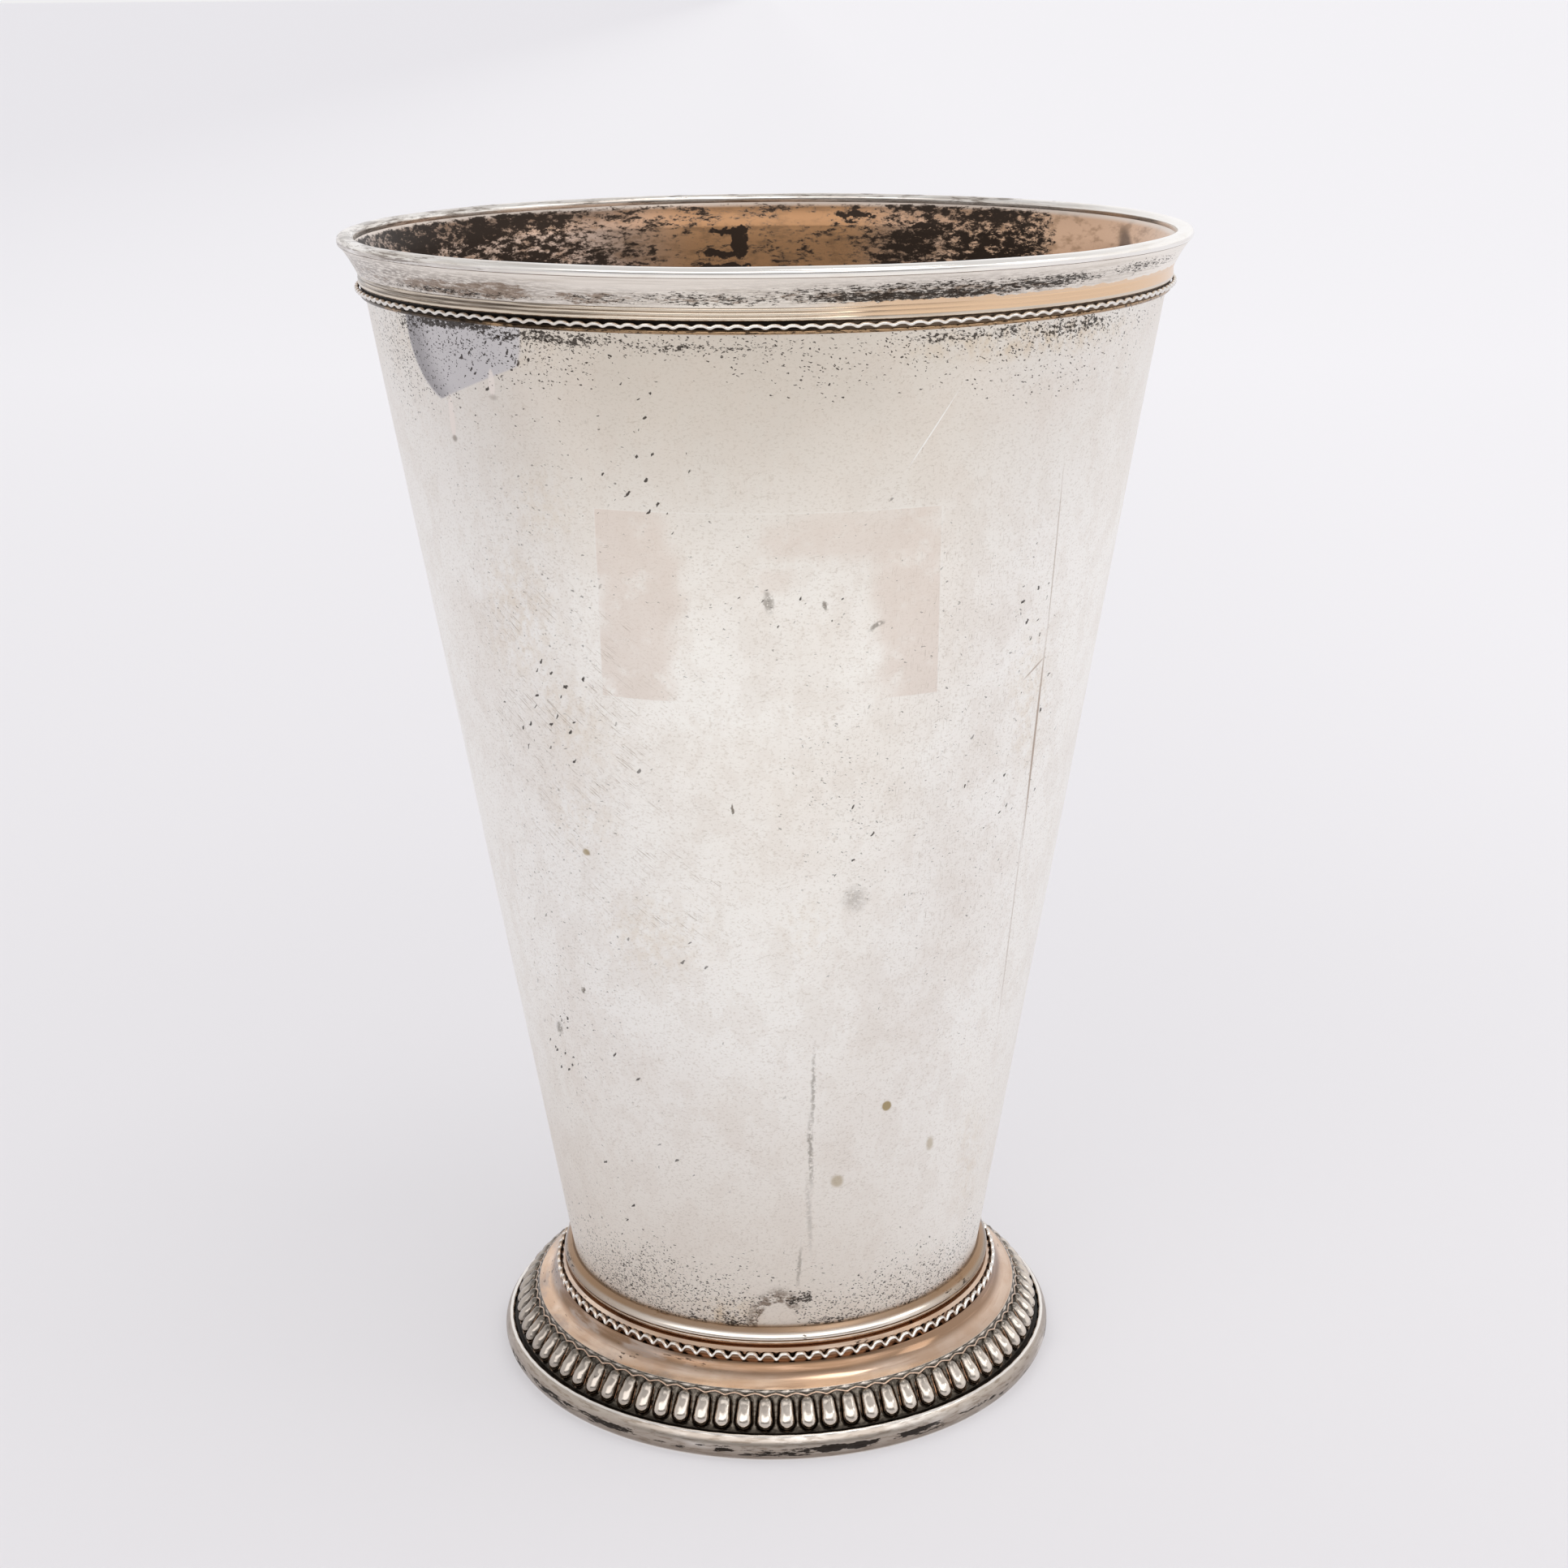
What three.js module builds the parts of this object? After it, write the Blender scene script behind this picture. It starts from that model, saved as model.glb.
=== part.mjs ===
// Footed silver beaker, built from ten soldered pieces: a tapered wall with a flared mouth, its
// floor disc, a lip wire, a reeded band and a zigzag wire under the mouth, and a hollow foot of
// collar, zigzag wire, cove, gadrooned band and rim.
// Millimetres, +Z up, origin under the centre of the foot. The front is at -Y.
import * as THREE from 'three';

// Facets round each turned piece, and along each curved stretch of its profile
const segments = 60;
const curveSteps = 3;
const roundSteps = 4;

// Solder gap between pieces that nest round each other
const solderGap = 0.1;

// Wall of the cup
const wallBaseRadius = 25.95;
const wallHeight = 127.05;
const wallThickness = 0.8;
const neckRadius = 46.95;
const flareHeight = 3.1;
const flareSpread = 1.85;
const flareHollow = 0.1;

// Floor disc soldered in at the bottom of the wall
const floorThickness = 1.2;

// Half-round wire round the mouth
const lipHeight = 1.1;
const lipWidth = 1.95;
const lipOverhang = 0.25;

// Reeded band under the flare, with a recess for its zigzag wire and a fillet below
const bandDepth = 0.4;
const filletDepth = 0.62;
const filletHeight = 0.4;
const recessDepth = 0.24;
const recessHeight = 1.25;
const reedCount = 2;
const reedHeight = 0.52;
const reedDepth = 0.2;

// Zigzag wire in that recess
const rimWaves = 160;
const rimWaveHeight = 0.2;
const rimWireHeight = 0.5;
const rimWireDepth = 0.55;

// Half-round collar that hides the joint of cup and foot
const collarHeight = 2.2;
const collarFootWidth = 1.05;
const collarTopWidth = 0.15;
const collarBulge = 0.8;

// Cove of the foot: a flange that carries the cup, a neck, and a hollow curve below it
const flangeWidth = 3;
const neckStep = 1.95;
const neckChamfer = 0.35;
const neckHeight = 1.5;
const coveLedge = 0.5;
const coveHeight = 2.2;
const coveSpread = 2.6;
const coveHollow = 0.3;
const footShell = 1.1;

// Zigzag wire on the neck of the cove
const footWaves = 90;
const footWaveHeight = 0.32;
const footWireHeight = 0.5;
const footWireDepth = 0.65;

// Gadrooned band: tapered lobes on a sloping bed, with a plain channel below them
const lobeCount = 80;
const lobeTurn = THREE.MathUtils.degToRad(1.9);
const bandSpread = 2.75;
const gadroonHeight = 4.65;
const channelWidth = 0.55;
const channelHeight = 0.35;
const lobeHeight = 0.75;
const lobeHeadHeight = 0.45;
const lobeHeadShare = 0.53;
const lobeFootShare = 0.72;
const lobeEndShare = 0.4;
const lobeCrownShare = 0.52;

// Rim of the foot: a rounded edge with a flat underside and a ledge for the gadrooned band
const ledgeHeight = 2.6;
const ledgeWidth = 2;
const rimWidth = 1.15;
const rimUpstand = 0.65;
const rimBaseSetback = 0.7;
const rimCrestSetback = 0.62;

// Heights of the planes where the pieces meet, from the ground up
const coveFootZ = ledgeHeight + gadroonHeight;
const coveLedgeZ = coveFootZ + coveHeight;
const seatZ = coveLedgeZ + neckHeight;
const neckZ = seatZ + wallHeight;
const lipSeatZ = neckZ + flareHeight;

// Radii at those planes, from the cup outwards
const coveNeckRadius = wallBaseRadius + neckStep;
const coveFootRadius = coveNeckRadius + coveLedge + coveSpread;
const channelRadius = coveFootRadius + bandSpread;
const gadroonRadius = channelRadius + channelWidth;
const lipSeatRadius = neckRadius + bandDepth + flareSpread;
const bandUnderRadius = gadroonRadius - ledgeWidth;

const silver = { color: 0xcdc8be, roughness: 0.32, metalness: 1 };
const brightSilver = { color: 0xdedad2, roughness: 0.2, metalness: 1 };
const roseSilver = { color: 0xcdae90, roughness: 0.26, metalness: 1 };

const beaker = new THREE.Group();

function addPiece(name, geometry, look) {
  const mesh = new THREE.Mesh(geometry, new THREE.MeshStandardMaterial(look));
  mesh.name = name;
  beaker.add(mesh);
}

// Outer radius of the tapered wall at a height
function wallRadius(z) {
  return wallBaseRadius + ((neckRadius - wallBaseRadius) * (z - seatZ)) / (neckZ - seatZ);
}

// A profile of radius and height, run counter-clockwise and turned once round the Z axis
function turned(profile, steps = curveSteps) {
  return new THREE.LatheGeometry(profile.getPoints(steps), segments).rotateX(Math.PI / 2);
}

// Curve from the path's end to a point, through a middle point halfway along
function curveThrough(path, midR, midZ, endR, endZ) {
  const start = path.currentPoint;
  const controlR = 2 * midR - (start.x + endR) / 2;
  const controlZ = 2 * midZ - (start.y + endZ) / 2;
  path.quadraticCurveTo(controlR, controlZ, endR, endZ);
}

// Point at a radius, an angle round from the front and a height
function around(radius, angle, z) {
  return new THREE.Vector3(radius * Math.sin(angle), -radius * Math.cos(angle), z);
}

// Closed ring-shaped solid through rings of points, each ring stitched to the next and the last to
// the first. Rings may differ in their number of points: the one that lags behind moves on.
function loft(rings) {
  const firsts = [];
  const points = [];
  for (const ring of rings) {
    firsts.push(points.length);
    points.push(...ring);
  }
  const triangles = [];
  rings.forEach((ring, k) => {
    const next = (k + 1) % rings.length;
    const lower = (i) => firsts[k] + (i % ring.length);
    const upper = (j) => firsts[next] + (j % rings[next].length);
    let i = 0;
    let j = 0;
    while (i < ring.length || j < rings[next].length) {
      if ((i + 1) / ring.length <= (j + 1) / rings[next].length) {
        triangles.push(lower(i), lower(i + 1), upper(j));
        i += 1;
      } else {
        triangles.push(lower(i), upper(j + 1), upper(j));
        j += 1;
      }
    }
  });
  return new THREE.BufferGeometry().setFromPoints(points).setIndex(triangles);
}

// Ridged wire that zigzags up and down round a ring, with its flat back at a radius
function zigzagWire(backRadius, middleZ, waves, waveHeight, wireHeight, wireDepth) {
  const ringAt = (radius, shift) =>
    Array.from({ length: 2 * waves }, (_, i) => {
      const swing = i % 2 ? waveHeight : -waveHeight;
      return around(radius, (i * Math.PI) / waves, middleZ + swing + shift);
    });
  return loft([
    ringAt(backRadius, -wireHeight / 2),
    ringAt(backRadius + wireDepth, 0),
    ringAt(backRadius, wireHeight / 2),
  ]);
}

// Tapered wall: straight cone, step under the flare, hollow flare and a flat edge for the lip
function beakerWall() {
  const flareFoot = neckRadius + bandDepth;
  const middleR = (flareFoot + lipSeatRadius) / 2 - flareHollow;
  const middleZ = (neckZ + lipSeatZ) / 2;
  const path = new THREE.Path();
  path.moveTo(wallBaseRadius - wallThickness, seatZ);
  path.lineTo(wallBaseRadius, seatZ);
  path.lineTo(neckRadius, neckZ);
  path.lineTo(flareFoot, neckZ);
  curveThrough(path, middleR, middleZ, lipSeatRadius, lipSeatZ);
  path.lineTo(lipSeatRadius - wallThickness, lipSeatZ);
  curveThrough(path, middleR - wallThickness, middleZ, neckRadius - wallThickness, neckZ);
  path.lineTo(wallBaseRadius - wallThickness, seatZ);
  return turned(path);
}

function beakerFloor() {
  const radius = wallBaseRadius - wallThickness - solderGap;
  const path = new THREE.Path();
  path.moveTo(0, seatZ);
  path.lineTo(radius, seatZ);
  path.lineTo(radius, seatZ + floorThickness);
  path.lineTo(0, seatZ + floorThickness);
  return turned(path);
}

function lipWire() {
  const outer = lipSeatRadius + lipOverhang;
  const path = new THREE.Path();
  path.moveTo(outer - lipWidth, lipSeatZ);
  path.lineTo(outer, lipSeatZ);
  path.absellipse(outer - lipWidth / 2, lipSeatZ, lipWidth / 2, lipHeight, 0, Math.PI);
  return turned(path, roundSteps);
}

// Reeded band: fillet, recess, then reeds as pointed ridges up to the step under the flare
function reedBand() {
  const reedsZ = neckZ - reedCount * reedHeight;
  const recessZ = reedsZ - recessHeight;
  const footZ = recessZ - filletHeight;
  const recessRadius = wallRadius(reedsZ) + recessDepth;
  const reedRadius = neckRadius + bandDepth - reedDepth;
  const path = new THREE.Path();
  path.moveTo(wallRadius(footZ) + solderGap, footZ);
  path.lineTo(wallRadius(footZ) + filletDepth, footZ);
  path.lineTo(wallRadius(footZ) + filletDepth, recessZ);
  path.lineTo(recessRadius, recessZ);
  path.lineTo(recessRadius, reedsZ);
  path.lineTo(reedRadius, reedsZ);
  for (let i = 0; i < reedCount; i += 1) {
    path.lineTo(reedRadius + reedDepth, reedsZ + (i + 0.5) * reedHeight);
    path.lineTo(reedRadius, reedsZ + (i + 1) * reedHeight);
  }
  path.lineTo(neckRadius + solderGap, neckZ);
  path.lineTo(wallRadius(footZ) + solderGap, footZ);
  return { geometry: turned(path), recessRadius, recessMiddleZ: recessZ + recessHeight / 2 };
}

// Collar: half-round outside, and an inside that follows the taper of the wall
function footCollar() {
  const topZ = seatZ + collarHeight;
  const inner = (z) => wallRadius(z) + solderGap;
  const footRadius = wallBaseRadius + collarFootWidth;
  const topRadius = inner(topZ) + collarTopWidth;
  const path = new THREE.Path();
  path.moveTo(inner(seatZ), seatZ);
  path.lineTo(footRadius, seatZ);
  curveThrough(path, (footRadius + topRadius) / 2 + collarBulge, (seatZ + topZ) / 2, topRadius, topZ);
  path.lineTo(inner(topZ), topZ);
  path.lineTo(inner(seatZ), seatZ);
  return turned(path, roundSteps);
}

// Cove: flange under the cup, neck for the zigzag wire, ledge, hollow curve, and a shell inside
function footCove() {
  const ledgeRadius = coveNeckRadius + coveLedge;
  const middleR = (ledgeRadius + coveFootRadius) / 2 - coveHollow;
  const middleZ = (coveLedgeZ + coveFootZ) / 2 - coveHollow;
  const flangeRadius = wallBaseRadius - flangeWidth;
  const path = new THREE.Path();
  path.moveTo(coveFootRadius - footShell, coveFootZ);
  path.lineTo(coveFootRadius, coveFootZ);
  curveThrough(path, middleR, middleZ, ledgeRadius, coveLedgeZ);
  path.lineTo(coveNeckRadius, coveLedgeZ);
  path.lineTo(coveNeckRadius, seatZ - neckChamfer);
  path.lineTo(coveNeckRadius - neckChamfer, seatZ);
  path.lineTo(flangeRadius, seatZ);
  path.lineTo(flangeRadius, seatZ - footShell);
  path.lineTo(coveNeckRadius - footShell, seatZ - footShell);
  path.lineTo(coveFootRadius - footShell, coveFootZ);
  return turned(path);
}

// Gadrooned band. Each row of the bed has five points to a lobe: the valley, the two edges and the
// two sides of the crown. The rows run down the bed from the cove to the channel.
function gadroonBand() {
  const pitch = (2 * Math.PI) / lobeCount;
  const bedTop = new THREE.Vector2(coveFootRadius, coveFootZ);
  const bedEnd = new THREE.Vector2(channelRadius, ledgeHeight + channelHeight);
  const along = bedEnd.clone().sub(bedTop).normalize();
  const rows = [
    { t: 0, share: lobeHeadShare, rise: 0 },
    { t: 0.18, share: lobeHeadShare, rise: lobeHeadHeight },
    { t: 0.76, share: lobeFootShare, rise: lobeHeight },
    { t: 1, share: lobeEndShare, rise: 0 },
  ];
  const bedRing = ({ t, share, rise }) => {
    const bed = bedTop.clone().lerp(bedEnd, t);
    const lobe = [
      { turn: -0.5, lift: 0 },
      { turn: -share / 2, lift: 0 },
      { turn: (-share * lobeCrownShare) / 2, lift: rise },
      { turn: (share * lobeCrownShare) / 2, lift: rise },
      { turn: share / 2, lift: 0 },
    ];
    return Array.from({ length: lobeCount }, (_, i) => i).flatMap((i) =>
      lobe.map(({ turn, lift }) => {
        const angle = lobeTurn + (i + turn) * pitch;
        return around(bed.x - along.y * lift, angle, bed.y + along.x * lift);
      }),
    );
  };
  const plainRing = (radius, z) =>
    Array.from({ length: lobeCount }, (_, i) => around(radius, lobeTurn + (i - 0.5) * pitch, z));
  return loft([
    plainRing(bandUnderRadius, ledgeHeight),
    plainRing(gadroonRadius, ledgeHeight),
    plainRing(gadroonRadius, bedEnd.y),
    ...rows.reverse().map(bedRing),
    plainRing(coveFootRadius - footShell, coveFootZ),
  ]);
}

// Foot rim: flat underside, bulging side, crest, and a ledge that the gadrooned band stands on
function footRim() {
  const upstandRadius = gadroonRadius + solderGap;
  const bulgeRadius = upstandRadius + rimWidth;
  const crestZ = ledgeHeight + rimUpstand;
  const path = new THREE.Path();
  path.moveTo(bandUnderRadius, 0);
  path.lineTo(bulgeRadius - rimBaseSetback, 0);
  curveThrough(path, bulgeRadius, crestZ / 2, bulgeRadius - rimCrestSetback, crestZ);
  path.lineTo(upstandRadius, crestZ);
  path.lineTo(upstandRadius, ledgeHeight);
  path.lineTo(bandUnderRadius, ledgeHeight);
  path.lineTo(bandUnderRadius, 0);
  return turned(path, roundSteps);
}

const reeds = reedBand();
const rimWireBack = reeds.recessRadius + solderGap;
const footWireBack = coveNeckRadius + solderGap;
const footWireZ = coveLedgeZ + neckHeight / 2;

addPiece('beaker_wall', beakerWall(), silver);
addPiece('beaker_floor', beakerFloor(), silver);
addPiece('lip_wire', lipWire(), brightSilver);
addPiece('rim_reed_band', reeds.geometry, silver);
addPiece(
  'rim_zigzag_wire',
  zigzagWire(rimWireBack, reeds.recessMiddleZ, rimWaves, rimWaveHeight, rimWireHeight, rimWireDepth),
  brightSilver,
);
addPiece('foot_collar', footCollar(), brightSilver);
addPiece('foot_cove', footCove(), roseSilver);
addPiece(
  'foot_zigzag_wire',
  zigzagWire(footWireBack, footWireZ, footWaves, footWaveHeight, footWireHeight, footWireDepth),
  brightSilver,
);
addPiece('gadroon_band', gadroonBand(), brightSilver);
addPiece('foot_rim', footRim(), silver);

export default beaker;
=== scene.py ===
import math

import bpy
import numpy as np
from mathutils import Euler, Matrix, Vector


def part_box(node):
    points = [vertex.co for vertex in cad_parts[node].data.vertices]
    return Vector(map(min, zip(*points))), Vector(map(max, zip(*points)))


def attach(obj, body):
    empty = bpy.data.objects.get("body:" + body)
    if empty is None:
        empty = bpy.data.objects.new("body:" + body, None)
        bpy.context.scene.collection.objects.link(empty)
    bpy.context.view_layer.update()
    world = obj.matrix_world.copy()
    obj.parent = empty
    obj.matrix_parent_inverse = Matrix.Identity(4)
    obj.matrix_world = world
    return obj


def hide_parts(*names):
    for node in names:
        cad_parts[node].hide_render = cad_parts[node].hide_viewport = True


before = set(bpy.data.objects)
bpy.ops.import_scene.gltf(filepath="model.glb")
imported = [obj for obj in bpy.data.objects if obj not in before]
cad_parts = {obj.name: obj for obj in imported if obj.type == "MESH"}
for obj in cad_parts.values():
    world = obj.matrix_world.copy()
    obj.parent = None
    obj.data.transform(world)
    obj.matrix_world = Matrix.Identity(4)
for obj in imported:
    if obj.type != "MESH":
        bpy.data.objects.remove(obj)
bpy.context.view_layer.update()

mm = 0.001
tau = 2 * math.pi
mapHeight = 150.0  # mm of height in the full map of a piece
scene = bpy.context.scene


# Sizes taken from the frame: outer radius, lowest and highest point of a CAD node, in mm
def reach(name):
    low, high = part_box(name)
    return high[0] / mm, low[2] / mm, high[2] / mm


wallTopRadius, seatZ, lipSeatZ = reach("beaker_wall")
lipRadius, _, topZ = reach("lip_wire")
_, bandLowZ, neckZ = reach("rim_reed_band")
collarRadius, _, collarTopZ = reach("foot_collar")
coveRadius, coveLowZ, _ = reach("foot_cove")
gadroonRadius, ledgeZ, _ = reach("gadroon_band")
footRadius, groundZ, footCrestZ = reach("foot_rim")
rimWireRadius, rimWireLowZ, rimWireTopZ = reach("rim_zigzag_wire")
footWireRadius, footWireLowZ, footWireTopZ = reach("foot_zigzag_wire")
floorRadius, floorLowZ, floorTopZ = reach("beaker_floor")

wall = {
    "baseRadius": 25.95,
    "neckRadius": 46.95,
    "thickness": 0.8,
    "flareFoot": 47.35,
    "flareHollow": 0.1,
    "innerHollow": 0.15,
    "fineBelow": 21, "fineAbove": 126,  # rows lie closer below and above these heights
    "mouthInner": 47.46,  # inside of the flare, flush with the lip
    "wave": 0.05,  # depth of the hand-raised unevenness
    "columns": 400,
}
wallTaper = (wall["neckRadius"] - wall["baseRadius"]) / (neckZ - seatZ)


# Shapes: profiles of (radius, height) points, run counter-clockwise, and rings made of them
def straight(start, end, steps):  # even points from start up to, and without, end
    t = np.linspace(0, 1, steps, endpoint=False)[:, None]
    return np.array(start) * (1 - t) + np.array(end) * t


def bowed(start, middle, end, steps):  # parabola that passes the middle point half way, without end
    t = np.linspace(0, 1, steps, endpoint=False)[:, None]
    start, middle, end = np.array(start), np.array(middle), np.array(end)
    handle = 2 * middle - (start + end) / 2
    return start * (1 - t) ** 2 + handle * 2 * t * (1 - t) + end * t ** 2


# Closed profile in parts: a stop is a point, the steps to the next, and a middle where the way is bowed
def chain(*stops):
    return [bowed(start, middle[0], end, steps) if middle else straight(start, end, steps)
            for (start, steps, *middle), (end, *_) in zip(stops, stops[1:] + stops[:1])]


def spread(values, parts):  # one value for each part, repeated over its points
    return np.repeat(values, [len(p) for p in parts])


def smooth(low, high, x):  # 0 at low, 1 at high, eased between
    t = np.clip((x - low) / (high - low), 0, 1)
    return t * t * (3 - 2 * t)


def ovals(listed, x, y):  # strongest of soft ovals, for arrays of flat coordinates
    total = np.zeros(np.broadcast(x, y).shape)
    for centre, half, share, soft, *turn in listed:
        c, s = math.cos(turn[0] if turn else 0), math.sin(turn[0] if turn else 0)
        dx, dy = x - centre[0], y - centre[1]
        far = np.hypot((c * dx + s * dy) / half[0], (c * dy - s * dx) / half[1])
        total = np.maximum(total, share * smooth(1 + soft, 1 - soft, far))
    return total


def turns(columns):  # angles round from the back, through the front at 0, as a column
    return (np.arange(columns) / columns * tau - math.pi)[:, None]


def grid(parts, columns):  # angle of each column, and radius and height of every point
    profile = np.vstack(parts)
    angle = turns(columns)
    return angle, profile[:, 0] + 0 * angle, profile[:, 1] + 0 * angle


# Ring surface: point (i, j) lies at angle i and on profile point j, at (r sin a, -r cos a, z).
# Both directions close on themselves. The map "wrap" holds the share of a turn and height / mapHeight.
def ringPiece(name, nodeName, slotName, angle, r, z, materials, marks=None, sharp=35, slotOf=None):
    columns, rows = r.shape
    angle = np.broadcast_to(angle, r.shape)
    points = np.stack([r * np.sin(angle), -r * np.cos(angle), z], -1) * mm
    i, j = np.meshgrid(np.arange(columns), np.arange(rows), indexing="ij")
    nextI, nextJ = (i + 1) % columns, (j + 1) % rows
    corners = np.stack([i * rows + j, nextI * rows + j, nextI * rows + nextJ, i * rows + nextJ], -1)
    turn = np.stack([i, i + 1, i + 1, i], -1) / columns
    height = np.take(z.ravel(), corners) / mapHeight
    mesh = bpy.data.meshes.new(name)
    mesh.vertices.add(points.size // 3)
    mesh.vertices.foreach_set("co", points.ravel())
    mesh.loops.add(corners.size)
    mesh.loops.foreach_set("vertex_index", corners.ravel())
    mesh.polygons.add(corners.size // 4)
    mesh.polygons.foreach_set("loop_start", np.arange(0, corners.size, 4))
    mesh.update(calc_edges=True)
    wrap = mesh.uv_layers.new(name="wrap")
    wrap.uv.foreach_set("vector", np.stack([turn, height], -1).ravel())
    for mark, values in (marks or {}).items():
        layer = mesh.attributes.new(mark, "FLOAT", "POINT")
        layer.data.foreach_set("value", np.broadcast_to(values, r.shape).astype(np.float32).ravel())
    for material in materials:
        mesh.materials.append(material)
    if slotOf is not None:
        mesh.polygons.foreach_set("material_index", np.tile(slotOf, columns))
    mesh.shade_smooth()
    mesh.set_sharp_from_angle(angle=math.radians(sharp))
    piece = bpy.data.objects.new(name, mesh)
    scene.collection.objects.link(piece)
    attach(piece, "root")
    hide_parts(nodeName)
    print(name, 2 * len(mesh.polygons), "triangles")


def turnedPiece(name, nodeName, slotName, parts, columns, materials, tarnishAndShadeLevel=None):
    # this mark holds tarnish in hollows and painted shade, which the finishes turn brown and black
    marks = None if tarnishAndShadeLevel is None else {"tarnishAndShade": tarnishAndShadeLevel}
    ringPiece(name, nodeName, slotName, *grid(parts, columns), materials, marks)


# Materials: one function adds a node, and the rest are masks and finishes named for what they draw
def linear(text):  # sRGB hex to a linear colour
    parts = [int(text[k:k + 2], 16) / 255 for k in (1, 3, 5)]
    return tuple(c / 12.92 if c <= 0.04045 else ((c + 0.055) / 1.055) ** 2.4 for c in parts) + (1,)


tree = None  # node tree that node() writes to


def begin(owner):  # empties the node tree of a material or world, and has node() write to it
    global tree
    owner.use_nodes = True
    tree = owner.node_tree
    tree.nodes.clear()


# Adds a shader node with its settings, values and links, and gives its outputs
def node(kind, feed=None, **settings):
    made = tree.nodes.new("ShaderNode" + kind)
    for key, value in settings.items():
        setattr(made, key, value)
    for key, value in (feed or {}).items():
        if isinstance(value, bpy.types.NodeSocket):
            tree.links.new(value, made.inputs[key])
        else:
            made.inputs[key].default_value = value
    return made.outputs


# A new material, its piece's coordinates in mm, and the values that its points carry
def startMaterial(name, *carried):
    material = bpy.data.materials.new(name)
    begin(material)
    place = node("TexCoord")
    inMm = node("VectorMath", {0: place["Object"], "Scale": 1 / mm}, operation="SCALE")
    return material, inMm[0], *[node("Attribute", attribute_name=mark)["Fac"] for mark in carried]


def unrolled():  # the wall laid flat: arc from the front and height, both in mm
    wrap = node("UVMap", uv_map="wrap")
    part = node("SeparateXYZ", {0: wrap[0]})
    height = node("Math", {0: part[1], 1: mapHeight}, operation="MULTIPLY")
    radius = node("MapRange", {
        "Value": height[0], "From Min": seatZ, "From Max": neckZ,
        "To Min": wall["baseRadius"], "To Max": wall["neckRadius"]}, clamp=False)
    angle = node("MapRange", {
        "Value": part[0], "To Min": -math.pi, "To Max": math.pi}, clamp=False)
    arc = node("Math", {0: angle[0], 1: radius[0]}, operation="MULTIPLY")
    flat = node("CombineXYZ", {0: arc[0], 1: height[0]})
    return flat[0], arc[0], height[0]


# Noise with a grain size in mm along each axis, turned and shifted
def grainNoise(at, size, detail=4.0, rough=0.6, turn=(0, 0, 0), seed=0):
    placed = node("Mapping", {
        "Vector": at, "Location": (seed * 71.3, seed * 39.1, seed * 55.7), "Rotation": turn,
        "Scale": size}, vector_type="TEXTURE")
    noise = node("TexNoise", {
        "Vector": placed[0], "Scale": 1.0, "Detail": detail, "Roughness": rough})
    return noise["Fac"]


# Soft patches: 0 where the noise is below low, share where it is above high
def mottle(at, size, low, high, share=1.0, **grain):
    return between(grainNoise(at, size, **grain), (low, high), share=share)


# Hair scratches: patches drawn out to a width and a length in mm, and turned on the flat
def scratches(at, wide, long, low, high, share, detail, turn, seed):
    return mottle(at, (wide, long, 1), low, high, share, detail=detail, turn=(0, 0, turn), seed=seed)


# Ragged scabs: fine noise shows where it and the crowd, 0 to 1, by its weight, together pass a level
scab = {"weight": 0.45, "level": 0.76}


def stipple(at, size, crowd, share=1.0, crisp=0.04, **grain):
    total = node("Math", {
        0: crowd, 1: scab["weight"], 2: grainNoise(at, size, **grain)}, operation="MULTIPLY_ADD")
    return between(total[0], (scab["level"], scab["level"] + crisp), share=share)


# Pits: one dot to a cell of the given size and turn, in the share of cells that the crowd sets
def pits(at, size, crowd, wide=0.3, share=1.0, turn=0.0):
    placed = node("Mapping", {
        "Vector": at, "Rotation": (0, 0, turn), "Scale": (*size, 1)}, vector_type="TEXTURE")
    cell = node("TexVoronoi", {"Vector": placed[0], "Scale": 1.0}, voronoi_dimensions="2D")
    lot = node("SeparateXYZ", {0: cell["Color"]})
    chosen = node("Math", {0: crowd, 1: lot[0]}, operation="SUBTRACT")
    margin = node("Math", {0: lot[1], 1: -wide, 2: cell["Distance"]},
                  operation="MULTIPLY_ADD")
    return allOf(between(chosen[0], (0, 0.02), share=share),
                 between(margin[0], fall=(-0.03, 0.06)))


# How far a value lies in a band: eased up over rise, eased down over fall
def between(value, rise=None, fall=None, share=1.0):
    sides = [side for side in (rise, fall[::-1] if fall else None) if side]
    masks = [node("MapRange", {
        "Value": value, "From Min": low, "From Max": high, "To Max": share if k == 0 else 1.0},
        interpolation_type="SMOOTHSTEP")[0] for k, (low, high) in enumerate(sides)]
    return allOf(*masks)


def joined(masks, operation):  # masks put together one by one
    whole = masks[0]
    for mask in masks[1:]:
        whole = node("Math", {0: whole, 1: mask}, operation=operation)[0]
    return whole


def allOf(*masks):  # product of masks
    return joined(masks, "MULTIPLY")


def anyOf(*masks):  # strongest of masks
    return joined(masks, "MAXIMUM")


def summed(*masks):  # sum of masks
    return joined(masks, "ADD")


def less(mask):  # the rest of a mask
    return node("Math", {0: 1.0, 1: mask}, operation="SUBTRACT")[0]


# How far out a point lies from a centre, 1 on the outline: an oval, or a block when square
def outward(at, centre, half, turn=0.0, square=False):
    placed = node("Mapping", {
        "Vector": at, "Location": (*centre, 0)[:3], "Rotation": (0, 0, turn),
        "Scale": (*half, 1)[:3]}, vector_type="TEXTURE")
    if not square:
        return node("VectorMath", {0: placed[0]}, operation="LENGTH")["Value"]
    sizes = node("VectorMath", {0: placed[0]}, operation="ABSOLUTE")
    axes = node("SeparateXYZ", {0: sizes[0]})
    return anyOf(axes[0], axes[1])


# Mark: share inside, fading out over its soft edge; centre and half sizes in mm
def spot(at, centre, half, share=1.0, soft=0.4, turn=0.0):
    return between(outward(at, centre, half, turn), fall=(1 - soft, 1 + soft), share=share)


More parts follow.
